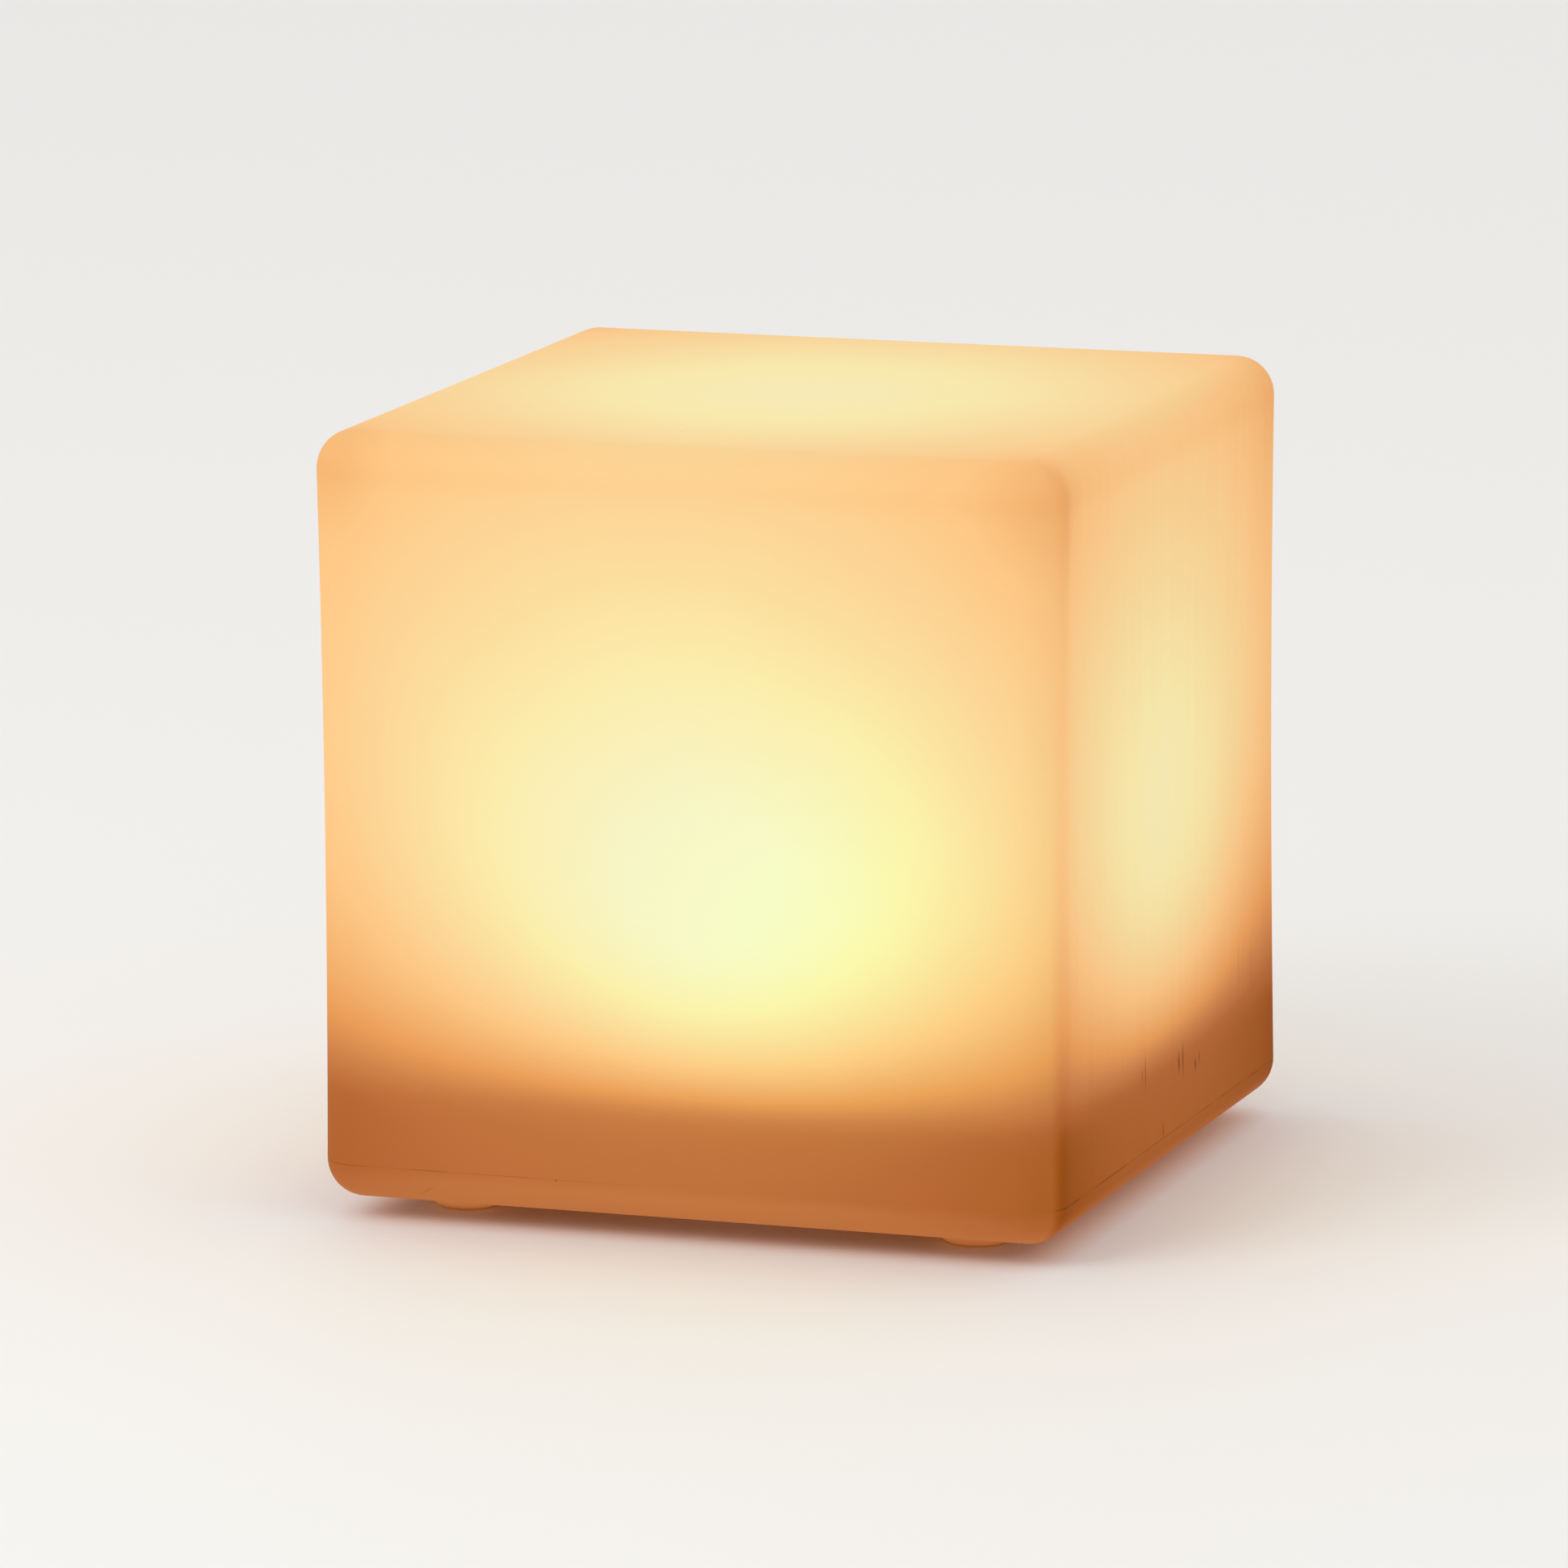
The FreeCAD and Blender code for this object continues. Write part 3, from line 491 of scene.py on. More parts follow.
links.new(ramp.outputs["Color"], tinted.inputs[0])
links.new(yellow.outputs[0], tinted.inputs[1])


# ---- Shell: marks ----------------------------------------------------------------------------
# A fine witness line, broken in places, runs round the cube where the mould's halves meet. A few
# upright scratches mark the right side low down, and dark specks are caught in the plastic.

PARTING_HEIGHT = 0.0500
PARTING_WIDTH = 0.0011
PARTING_BREAKS = (0.38, 0.62, 0.30, 1.0)
WIDE_PARTING_FADE = (-0.22, -0.05, 0.30, 0.04)
SIDE_PARTING_DEPTH = 0.60
SCRATCHES = (
    (-0.0350, 0.0397, 0.0522, 0.34),
    (-0.0392, 0.0422, 0.0486, 0.26),
    (0.0087, 0.0362, 0.0446, 0.68),
    (0.0141, 0.0344, 0.0477, 0.50),
    (0.0303, 0.0326, 0.0384, 0.60),
    (0.0357, 0.0347, 0.0395, 0.34),
    (-0.0128, 0.0152, 0.0207, 0.34),
    (0.0896, 0.0510, 0.0755, 0.12),
    (0.1065, 0.0478, 0.0720, 0.12),
)
SPECKS = (
    (-0.1035, -half_side, 0.0570),
    (-0.0937, -half_side, 0.0446),
    (-0.0509, -half_side, 0.0147),
    (-0.0126, -0.1052, CUBE_SIDE),
)
SCRATCH_WIDTH = 0.0012
SCRATCH_REACH = 0.75           # half length of a scratch, as a share of its height
SPECK_WIDTH = 0.0008
SPECK_DEPTH = 0.35
SCUFF_DEPTH = 0.18
MARK_REACH_IN = 0.004
BREAK_SCALE = 60.0
TOP_PAINTED_SHADE = 0.05


def mark(centre, reach, depth, turned=(0.0, 0.0, 0.0)):
    """A dark mark in the skin, lens-shaped, that reaches so far each way from its centre."""
    frame_of_mark = nodes.new("ShaderNodeMapping")
    frame_of_mark.vector_type = "TEXTURE"
    frame_of_mark.inputs["Location"].default_value = centre
    frame_of_mark.inputs["Rotation"].default_value = turned
    frame_of_mark.inputs["Scale"].default_value = reach
    links.new(spot, frame_of_mark.inputs["Vector"])
    from_centre = nodes.new("ShaderNodeVectorMath")
    from_centre.operation = "LENGTH"
    links.new(frame_of_mark.outputs[0], from_centre.inputs[0])
    return rise(from_centre.outputs["Value"], 0.2, 1.0, depth, 0.0)


marks = []
for y, low, high, depth in SCRATCHES:
    middle = (half_side, y, FOOT_HEIGHT + (low + high) / 2)
    marks.append(mark(middle, (MARK_REACH_IN, SCRATCH_WIDTH, SCRATCH_REACH * (high - low)), depth))
for x, y, z in SPECKS:
    marks.append(mark((x, y, z + FOOT_HEIGHT), (SPECK_WIDTH, SPECK_WIDTH, SPECK_WIDTH), SPECK_DEPTH))
scuff_place = (-0.1047, -0.1475, FOOT_HEIGHT + 0.0066)
scuff_slant = (0.0, math.radians(-33.0), 0.0)
marks.append(mark(scuff_place, (0.0060, MARK_REACH_IN, 0.0005), SCUFF_DEPTH, scuff_slant))

unbroken = rise(noise(spot, BREAK_SCALE, 2.0), *PARTING_BREAKS)
parting = product(ridge(height, PARTING_HEIGHT, PARTING_WIDTH), unbroken)
front_depth = product(wide_share, rise(across, *WIDE_PARTING_FADE))
parting_depth = total(front_depth, product(side_share, SIDE_PARTING_DEPTH))
# Besides the real marks, the top is painted a little darker: painted shade against the brighter room light
# that falls on it.
shade = calc("SUBTRACT", 1.0, total(product(parting, parting_depth), product(top_share, TOP_PAINTED_SHADE), *marks))

shaded_glow = nodes.new("ShaderNodeVectorMath")
shaded_glow.operation = "SCALE"
links.new(tinted.outputs[0], shaded_glow.inputs[0])
links.new(shade, shaded_glow.inputs["Scale"])


# ---- Shell: skin -----------------------------------------------------------------------------
# The skin is satin, with the faint orange peel of a blasted mould. Most of its brightness is the glow from
# inside. The base colour is that same glow pattern, dimmed, so the room's light falls on a painted pool of
# light and amber dusk rather than on milky plastic.

GLOW_SHARE = 0.60
ROOM_SHARE = 0.40
SKIN_SHINE = 0.01
SKIN_RELIEF = 0.0002
SEAM_RELIEF = 1.5

# Painted light: the glow pattern, dimmed, is painted into the base colour.
glow_painted_as_base = nodes.new("ShaderNodeVectorMath")
glow_painted_as_base.operation = "SCALE"
glow_painted_as_base.inputs["Scale"].default_value = ROOM_SHARE
links.new(shaded_glow.outputs[0], glow_painted_as_base.inputs[0])
links.new(glow_painted_as_base.outputs[0], plastic.inputs["Base Color"])
links.new(shaded_glow.outputs[0], plastic.inputs["Emission Color"])
plastic.inputs["Emission Strength"].default_value = GLOW_SHARE
plastic.inputs["Specular IOR Level"].default_value = SKIN_SHINE
links.new(calc("MULTIPLY_ADD", grain, 0.12, 0.44), plastic.inputs["Roughness"])
skin = nodes.new("ShaderNodeBump")
skin.inputs["Strength"].default_value = 0.10
skin.inputs["Distance"].default_value = SKIN_RELIEF
links.new(total(grain, product(parting, SEAM_RELIEF)), skin.inputs["Height"])
links.new(skin.outputs["Normal"], plastic.inputs["Normal"])
shell.data.materials.clear()
shell.data.materials.append(glow)


# ---- Threaded inserts ------------------------------------------------------------------------
# Four hexagonal brass bushes stand in the mould before it is filled, so the plastic grips them.
# The module's screws run up into them.


CLOUD_TO_GRAIN = 0.06          # fineness of the colour clouds, as a share of the grain's
GLOSS_DRIFT = 0.15


def finish(name, colour, roughness, grain_size, drift=0.06, metallic=0.0, bump=0.08, specular=0.5):
    """A material whose colour, gloss and surface all vary finely, as on a real moulding."""
    material = bpy.data.materials.new(name)
    material.use_nodes = True
    tree = material.node_tree
    surface = tree.nodes["Principled BSDF"]
    surface.inputs["Metallic"].default_value = metallic
    surface.inputs["Specular IOR Level"].default_value = specular
    where = tree.nodes.new("ShaderNodeTexCoord")
    broad = tree.nodes.new("ShaderNodeTexNoise")
    broad.inputs["Scale"].default_value = CLOUD_TO_GRAIN / grain_size
    fine = tree.nodes.new("ShaderNodeTexNoise")
    fine.inputs["Scale"].default_value = 1.0 / grain_size
    fine.inputs["Detail"].default_value = 3.0
    tree.links.new(where.outputs["Object"], broad.inputs["Vector"])
    tree.links.new(where.outputs["Object"], fine.inputs["Vector"])
    tint = tree.nodes.new("ShaderNodeValToRGB")
    tint.color_ramp.elements[0].position = 0.3
    tint.color_ramp.elements[0].color = [part * (1.0 - drift) for part in colour] + [1.0]
    tint.color_ramp.elements[1].position = 0.7
    tint.color_ramp.elements[1].color = [min(part * (1.0 + drift), 1.0) for part in colour] + [1.0]
    tree.links.new(broad.outputs["Fac"], tint.inputs["Fac"])
    tree.links.new(tint.outputs["Color"], surface.inputs["Base Color"])
    gloss = tree.nodes.new("ShaderNodeMapRange")
    gloss.inputs["To Min"].default_value = roughness * (1.0 - GLOSS_DRIFT)
    gloss.inputs["To Max"].default_value = min(roughness * (1.0 + GLOSS_DRIFT), 1.0)
    tree.links.new(fine.outputs["Fac"], gloss.inputs["Value"])
    tree.links.new(gloss.outputs["Result"], surface.inputs["Roughness"])
    relief = tree.nodes.new("ShaderNodeBump")
    relief.inputs["Strength"].default_value = bump
    relief.inputs["Distance"].default_value = grain_size
    tree.links.new(fine.outputs["Fac"], relief.inputs["Height"])
    tree.links.new(relief.outputs["Normal"], surface.inputs["Normal"])
    return material


def paint(node, material):
    """Gives a CAD node the material in every slot it has."""
    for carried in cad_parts[node].material_slots:
        carried.material = material


brass = finish("turned_brass", (0.78, 0.57, 0.27), 0.28, 0.0004, metallic=1.0)
paint("shell_inserts", brass)


# ---- Module base -----------------------------------------------------------------------------
# A white injection moulding: a flange that closes the opening, a pocket for the controls, ribs
# that cradle the cells, pillars for the LED board and snaps for the cover. Its edges are eased.

MOULDING_EASE = 0.0004


def eased_copy(node, name, ease, steps=2, degrees=35.0):
    """The CAD node's form as one clean mesh of whole faces, with its edges eased."""
    piece = bpy.data.objects.new(name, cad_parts[node].data.copy())
    bpy.context.scene.collection.objects.link(piece)
    pick(piece, "FACE", lambda centre, normal: True)
    bpy.ops.mesh.remove_doubles(threshold=0.000002)
    bpy.ops.mesh.dissolve_limited(angle_limit=math.radians(1.0))
    ease_edges(piece, ease, steps)
    smooth(piece, degrees)
    return piece


def complete(piece, material, node, body):
    """Gives a finished piece its material and its place in the assembly, and hides the CAD node it stands
    for.
    """
    piece.data.materials.clear()
    piece.data.materials.append(material)
    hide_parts(node)
    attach(piece, body)


white_plastic = finish("white_moulding", (0.80, 0.80, 0.78), 0.42, 0.0006, drift=0.02)
base = eased_copy("module_base", "module_base_moulding", MOULDING_EASE)
complete(base, white_plastic, "module_base", "lamp")


# ---- Seal and flange screws ------------------------------------------------------------------
# A flat silicone ring is squeezed between flange and seat. Four hexagon-head steel screws, with
# chamfered heads and a shallow hollow in each, pull the flange up from below.

SCREW_HEAD_CORNERS = 0.0040
SCREW_HEAD_HEIGHT = 0.0024
SCREW_SHANK_RADIUS = 0.0020
SCREW_CHAMFER = 0.0007
SCREW_RIM = 0.0011
SCREW_HOLLOW = 0.0004
SCREW_EASE = 0.00012

silicone = finish("grey_silicone", (0.20, 0.20, 0.205), 0.62, 0.0005, drift=0.05, specular=0.35)
paint("flange_seal", silicone)

steel = finish("plain_steel", (0.62, 0.62, 0.61), 0.26, 0.0003, metallic=1.0)
screws_low, screws_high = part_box("flange_screws")
head_top = screws_low.z + SCREW_HEAD_HEIGHT
for quarter in range(4):
    angle = math.radians(45.0 + 90.0 * quarter)
    x = BOSS_CIRCLE * math.cos(angle)
    y = BOSS_CIRCLE * math.sin(angle)
    name = f"flange_screw_{quarter + 1}"
    screw = upright_cylinder(name, SCREW_HEAD_CORNERS, screws_low.z, head_top, x, y, 6, HEXAGON_TURN)
    cone_low = screws_low.z - TINY
    cone_top = head_top + PAST_PART
    cone = upright_cylinder("cone", SCREW_HEAD_CORNERS * 1.02, cone_low, cone_top, x, y, 48)
    pick(cone, "EDGE", lambda point: point.z < screws_low.z)
    bpy.ops.mesh.bevel(offset=SCREW_CHAMFER, segments=1, affect="EDGES")
    apply_modifier(screw, "BOOLEAN", operation="INTERSECT", solver="EXACT", object=cone)
    bpy.data.objects.remove(cone)
    pick(screw, "FACE", lambda centre, normal: normal.z < -0.9)
    bpy.ops.mesh.inset(thickness=SCREW_RIM)
    bpy.ops.transform.translate(value=(0.0, 0.0, SCREW_HOLLOW))
    shank_low = head_top - 2 * TINY
    join_solid(screw, upright_cylinder("shank", SCREW_SHANK_RADIUS, shank_low, screws_high.z, x, y, 32))
    ease_edges(screw, SCREW_EASE, 2, 25.0)
    smooth(screw, 30.0)
    complete(screw, steel, "flange_screws", "lamp")


# ---- Light source ----------------------------------------------------------------------------
# A white board on four pillars carries warm white LEDs on two circles, joined by copper rings
# under its lacquer. Each LED is a white box with a round window of phosphor. A clear pot, held by
# four snaps, covers the whole module.

LED_RINGS = ((0.036, 12, 15.0), (0.016, 6, 0.0))
LED_LENGTH = 0.0035
LED_WIDTH = 0.0028
LED_WINDOW = 0.00115
LED_WINDOW_DEPTH = 0.0002
LED_PHOSPHOR_DEPTH = 0.00014
HOUSING_EASE = 0.00012
WINDOW_EASE = 0.00005
COPPER_RING_WIDTH = 0.0022
COVER_EASE = 0.0003


def start_on(material):
    """Makes the calc helpers add their nodes to this material, and gives its object coordinates."""
    global nodes, links
    nodes = material.node_tree.nodes
    links = material.node_tree.links
    split = nodes.new("ShaderNodeSeparateXYZ")
    links.new(nodes.new("ShaderNodeTexCoord").outputs["Object"], split.inputs[0])
    return split.outputs["X"], split.outputs["Y"], split.outputs["Z"]


def overlay(where, colour):
    """Puts a second colour over the built material's own, where the value is one."""
    surface = nodes["Principled BSDF"]
    own = surface.inputs["Base Color"].links[0].from_socket
    mix = nodes.new("ShaderNodeMix")
    mix.data_type = "RGBA"
    links.new(where, mix.inputs["Factor"])
    links.new(own, mix.inputs[6])
    mix.inputs[7].default_value = (*colour, 1.0)
    links.new(mix.outputs[2], surface.inputs["Base Color"])


def sideways_from(x, y):
    """How far a point of the built material is from the upright line at x and y."""
    return calc("SQRT", total(square(calc("SUBTRACT", x_here, x)), square(calc("SUBTRACT", y_here, y))))


white_mask = finish("white_solder_mask", (0.80, 0.80, 0.78), 0.30, 0.0008, drift=0.02)
x_here, y_here, z_here = start_on(white_mask)
rings = [ridge(sideways_from(0.0, 0.0), radius, COPPER_RING_WIDTH) for radius, count, first in LED_RINGS]
overlay(product(calc("MAXIMUM", *rings), 0.5), (0.66, 0.60, 0.46))
paint("led_board", white_mask)

chips_low, chips_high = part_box("led_chips")
white_housing = finish("led_housing", (0.84, 0.84, 0.82), 0.35, 0.0003, drift=0.02)
phosphor = finish("led_phosphor", (0.95, 0.68, 0.16), 0.20, 0.0003, drift=0.10)


def at_every_led(model, name, material):
    """Sets a copy of the model at each LED's place, and joins the copies into one piece."""
    copies = []
    for ring_radius, count, first in LED_RINGS:
        for index in range(count):
            angle = math.radians(first + 360.0 * index / count)
            led_place = (ring_radius * math.cos(angle), ring_radius * math.sin(angle), 0.0)
            copy = model.copy()
            copy.data = model.data.copy()
            bpy.context.scene.collection.objects.link(copy)
            copy.data.transform(Matrix.Translation(led_place) @ Matrix.Rotation(angle, 4, "Z"))
            copies.append(copy)
    bpy.data.objects.remove(model)
    work_on(copies[0])
    for copy in copies:
        copy.select_set(True)
    bpy.ops.object.join()
    copies[0].name = name
    complete(copies[0], material, "led_chips", "lamp")


housing_low = (-LED_LENGTH / 2, -LED_WIDTH / 2, chips_low.z)
housing_high = (LED_LENGTH / 2, LED_WIDTH / 2, chips_high.z)
window_low = chips_high.z - LED_WINDOW_DEPTH
window_high = window_low + LED_PHOSPHOR_DEPTH
housing = block("led_housing", housing_low, housing_high)
ease_edges(housing, HOUSING_EASE)
cut_top = chips_high.z + PAST_PART
cut_away(housing, upright_cylinder("window", LED_WINDOW, window_low, cut_top, sides=28))
smooth(housing, 30.0)
window = upright_cylinder("led_window", LED_WINDOW * 0.97, window_low, window_high, sides=28)
ease_edges(window, WINDOW_EASE)
smooth(window, 30.0)
at_every_led(housing, "led_housings", white_housing)
at_every_led(window, "led_windows", phosphor)

clear_plastic = finish("clear_polycarbonate", (0.96, 0.97, 0.97), 0.05, 0.004, drift=0.01, bump=0.004)
clear_surface = clear_plastic.node_tree.nodes["Principled BSDF"]
clear_surface.inputs["Transmission Weight"].default_value = 1.0
clear_surface.inputs["IOR"].default_value = 1.58
cover = eased_copy("led_cover", "clear_pot", COVER_EASE, degrees=30.0)
complete(cover, clear_plastic, "led_cover", "lamp")


# ---- Battery ---------------------------------------------------------------------------------
# Two lithium cells in blue shrink wrap, with bare nickel ends and a white ring at the positive
# end, lie in the cradle under a white saddle. Nickel strips welded across the ends join them.

WRAP_OVERLAP = 0.0022
END_RIM = 0.0004
PLUS_BUTTON = 0.42             # radius of the raised button, as a share of the cell's radius
SADDLE_EASE = 0.0003

cell_wrap = finish("blue_shrink_wrap", (0.05, 0.16, 0.42), 0.30, 0.0009)
cells_low, cells_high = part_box("battery_cells")
x_here, y_here, z_here = start_on(cell_wrap)
cell_middle = (cells_low.z + cells_high.z) / 2
pair_middle = (cells_low.y + cells_high.y) / 2
cell_radius = (cells_high.z - cells_low.z) / 2
axis_off = pair_middle - cells_low.y - cell_radius
across_cell = calc("SUBTRACT", calc("ABSOLUTE", calc("SUBTRACT", y_here, pair_middle)), axis_off)
up_cell = calc("SUBTRACT", z_here, cell_middle)
from_cell_axis = calc("SQRT", total(square(across_cell), square(up_cell)))
on_end = calc("GREATER_THAN", calc("ABSOLUTE", x_here), cells_high.x - END_RIM / 2)
inside_wrap = calc("LESS_THAN", from_cell_axis, cell_radius - WRAP_OVERLAP)
in_button = calc("LESS_THAN", from_cell_axis, cell_radius * PLUS_BUTTON)
on_plus_end = product(on_end, calc("GREATER_THAN", x_here, 0.0))
overlay(product(on_plus_end, inside_wrap), (0.78, 0.78, 0.76))
bare_minus_end = product(inside_wrap, calc("LESS_THAN", x_here, 0.0))
overlay(product(on_end, calc("MAXIMUM", in_button, bare_minus_end)), (0.62, 0.60, 0.56))
paint("battery_cells", cell_wrap)

nickel = finish("nickel_strip", (0.66, 0.64, 0.60), 0.24, 0.0003, metallic=1.0)
paint("battery_tabs", nickel)
strap = eased_copy("battery_strap", "battery_saddle", SADDLE_EASE)
complete(strap, white_plastic, "battery_strap", "lamp")


# ---- Control board ---------------------------------------------------------------------------
# A green board over the pocket's roof charges the cells and dims the LEDs; its copper tracks show
# through the lacquer. It carries a wound coil, a capacitor in a black sleeve, the controller chip,
# the charge light and the plug of the LED board's lead.

TRACK_PITCH = 0.0010
TRACK_BLOCK = 0.0050
TRACK_WIDTH = 0.16             # half width of a track, as a share of the pitch
TRACK_STRENGTH = 0.6
BOARD_EASE = 0.0002

green_mask = finish("green_solder_mask", (0.02, 0.15, 0.06), 0.28, 0.0012, drift=0.12)
x_here, y_here, z_here = start_on(green_mask)
block_place = nodes.new("ShaderNodeCombineXYZ")
links.new(calc("FLOOR", calc("DIVIDE", x_here, TRACK_BLOCK)), block_place.inputs["X"])
links.new(calc("FLOOR", calc("DIVIDE", y_here, TRACK_BLOCK)), block_place.inputs["Y"])
block_chance = nodes.new("ShaderNodeTexWhiteNoise")
links.new(block_place.outputs[0], block_chance.inputs["Vector"])
along_x = calc("LESS_THAN", calc("PINGPONG", y_here, TRACK_PITCH / 2), TRACK_PITCH * TRACK_WIDTH)
along_y = calc("LESS_THAN", calc("PINGPONG", x_here, TRACK_PITCH / 2), TRACK_PITCH * TRACK_WIDTH)
turned_block = calc("GREATER_THAN", block_chance.outputs["Value"], 0.65)
empty_block = calc("LESS_THAN", block_chance.outputs["Value"], 0.20)
tracks = total(product(along_x, calc("SUBTRACT", 1.0, turned_block)), product(along_y, turned_block))
track_strength = calc("SUBTRACT", TRACK_STRENGTH, product(empty_block, TRACK_STRENGTH))
overlay(product(tracks, track_strength), (0.08, 0.30, 0.11))
control_board = eased_copy("control_board", "control_circuit_board", BOARD_EASE)
complete(control_board, green_mask, "control_board", "lamp")

black_moulding = finish("black_moulding", (0.025, 0.025, 0.027), 0.40, 0.0004, drift=0.15)

# The coil is a ferrite bobbin, with turns of copper wire in its waist.
COIL_CORE = 0.0040
COIL_RIM = 0.0013
COIL_EASE = 0.0006
COIL_TURNS = 5
FIRST_TURN = 0.0016
WIRE_RADIUS = 0.00028
WIRE_PITCH = 0.00045
low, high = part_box("power_coil")
ferrite = finish("coil_ferrite", (0.06, 0.06, 0.065), 0.55, 0.0004, drift=0.15)
coil = block("dimmer_coil", low, high)
ease_edges(coil, COIL_EASE, 3)
coil_x = (low.x + high.x) / 2
coil_y = (low.y + high.y) / 2
waist_growth = Vector((PAST_PART, PAST_PART, -COIL_RIM))
waist = block("waist", low - waist_growth, high + waist_growth)
core_low = low.z - PAST_PART
core_top = high.z + PAST_PART
cut_away(waist, upright_cylinder("core", COIL_CORE, core_low, core_top, coil_x, coil_y, 48))
cut_away(coil, waist)
for turn_number in range(COIL_TURNS):
    turn_level = low.z + FIRST_TURN + turn_number * WIRE_PITCH
    select_nothing()
    bpy.ops.mesh.primitive_torus_add(
        major_radius=COIL_CORE, minor_radius=WIRE_RADIUS, major_segments=48, minor_segments=10,
        location=(coil_x, coil_y, turn_level))
    join_solid(coil, added("winding"))
smooth(coil, 35.0)
x_here, y_here, z_here = start_on(ferrite)
in_waist = ridge(z_here, (low.z + high.z) / 2, COIL_RIM)
near_core = calc("LESS_THAN", sideways_from(coil_x, coil_y), 0.0045)
overlay(product(calc("GREATER_THAN", in_waist, 0.02), near_core), (0.72, 0.33, 0.14))
complete(coil, ferrite, "power_coil", "lamp")

# The capacitor's black sleeve has a pale stripe, and its bare top is scored with a cross.
CAN_TOP = 0.0006
CAN_EASE = 0.0004
SCORE_REACH = 0.6              # half length of a score line, as a share of the can's radius
SCORE_HALF_WIDTH = 0.00012
SCORE_DEPTH = 0.0002
low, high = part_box("capacitor")
can_radius = (high.x - low.x) / 2
can_x = (low.x + high.x) / 2
can_y = (low.y + high.y) / 2
can = upright_cylinder("smoothing_capacitor", can_radius, low.z, high.z, can_x, can_y, 64)
ease_edges(can, CAN_EASE, 3)
score_low = (-can_radius * SCORE_REACH, -SCORE_HALF_WIDTH, high.z - SCORE_DEPTH)
score_high = (can_radius * SCORE_REACH, SCORE_HALF_WIDTH, high.z + PAST_PART)
for turned in (0.0, math.pi / 2):
    score = block("score", score_low, score_high)
    score.data.transform(Matrix.Translation((can_x, can_y, 0.0)) @ Matrix.Rotation(turned, 4, "Z"))
    cut_away(can, score)
smooth(can, 35.0)
sleeve = finish("capacitor_sleeve", (0.03, 0.03, 0.04), 0.35, 0.0005, drift=0.15)
x_here, y_here, z_here = start_on(sleeve)
inside_rim = calc("LESS_THAN", sideways_from(can_x, can_y), can_radius * 0.82)
overlay(product(calc("GREATER_THAN", z_here, high.z - CAN_TOP), inside_rim), (0.62, 0.62, 0.62))
in_stripe = calc("GREATER_THAN", x_here, can_x + can_radius * 0.80)
overlay(product(calc("LESS_THAN", z_here, high.z - CAN_TOP), in_stripe), (0.55, 0.56, 0.60))
complete(can, sleeve, "capacitor", "lamp")

# Each switch's plunger moves with the button under it.
SMALL_PARTS = (
    ("controller_chip", "controller_chip_case", 0.00018, "lamp"),
    ("tact_switches", "switch_bodies", 0.0002, "lamp"),
    ("power_plunger", "power_switch_plunger", 0.0003, "power_button"),
    ("mode_plunger", "mode_switch_plunger", 0.0003, "mode_button"),
)
PLUG_EASE = 0.0003
for node, name, ease, body in SMALL_PARTS:
    complete(eased_copy(node, name, ease), black_moulding, node, body)
plug = eased_copy("led_plug", "led_lead_plug", PLUG_EASE)
complete(plug, white_plastic, "led_plug", "lamp")
paint("charge_light", clear_plastic)

red_insulation = finish("red_insulation", (0.50, 0.03, 0.02), 0.35, 0.0004)
black_insulation = finish("black_insulation", (0.02, 0.02, 0.02), 0.35, 0.0004, drift=0.2)
paint("led_lead", red_insulation)
paint("battery_lead_red", red_insulation)
paint("battery_lead_black", black_insulation)


# ---- Push buttons ----------------------------------------------------------------------------
# Two soft grey silicone caps hang through the pocket's roof, each with a square sealing rim above
# it. Their faces are dished, with a raised ring and bar on one and a raised dot on the other.

BUTTON_RADIUS = 0.0065
BUTTON_EDGE = 0.0009
BUTTON_RIM = 0.0012
DISH_MARGIN = 0.0012
DISH_DEPTH = 0.0003
DISH_STEPS = (0.55, 0.30, 0.15)
DISH_STEP_WIDTH = BUTTON_RADIUS * 0.12
RING_RADIUS = 0.0021
RING_THICKNESS = 0.00028
BAR_START = RING_RADIUS / 2
BAR_END = RING_RADIUS * 1.6
DOT_RADIUS = 0.0009
DOT_FLATNESS = 0.45


def button(name, node):
    """A round cap up to its sealing rim, dished underneath, and the middle of its dish."""
    low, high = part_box(node)
    rim_low = high.z - BUTTON_RIM
    x = (low.x + high.x) / 2
    y = (low.y + high.y) / 2
    cap = upright_cylinder(name, BUTTON_RADIUS, low.z, rim_low + TINY, x, y, 96)
    pick(cap, "EDGE", lambda point: point.z < low.z + TINY)
    bpy.ops.mesh.bevel(offset=BUTTON_EDGE, segments=6, affect="EDGES")
    pick(cap, "FACE", lambda centre, normal: normal.z < -0.99)
    bpy.ops.mesh.inset(thickness=DISH_MARGIN)
    for part_of_depth in DISH_STEPS:
        bpy.ops.mesh.inset(thickness=DISH_STEP_WIDTH)
        bpy.ops.transform.translate(value=(0.0, 0.0, DISH_DEPTH * part_of_depth))
    join_solid(cap, block("rim", (low.x, low.y, rim_low), high))
    return cap, Vector((x, y, low.z + DISH_DEPTH))


power_cap, face_middle = button("power_button_cap", "power_button")
select_nothing()
bpy.ops.mesh.primitive_torus_add(
    major_radius=RING_RADIUS, minor_radius=RING_THICKNESS, major_segments=48, minor_segments=12,
    location=face_middle)
join_solid(power_cap, added("ring"))
bar_low = face_middle + Vector((-RING_THICKNESS, BAR_START, -RING_THICKNESS))
bar_high = face_middle + Vector((RING_THICKNESS, BAR_END, RING_THICKNESS))
join_solid(power_cap, block("bar", bar_low, bar_high))
smooth(power_cap, 32.0)
complete(power_cap, silicone, "power_button", "power_button")

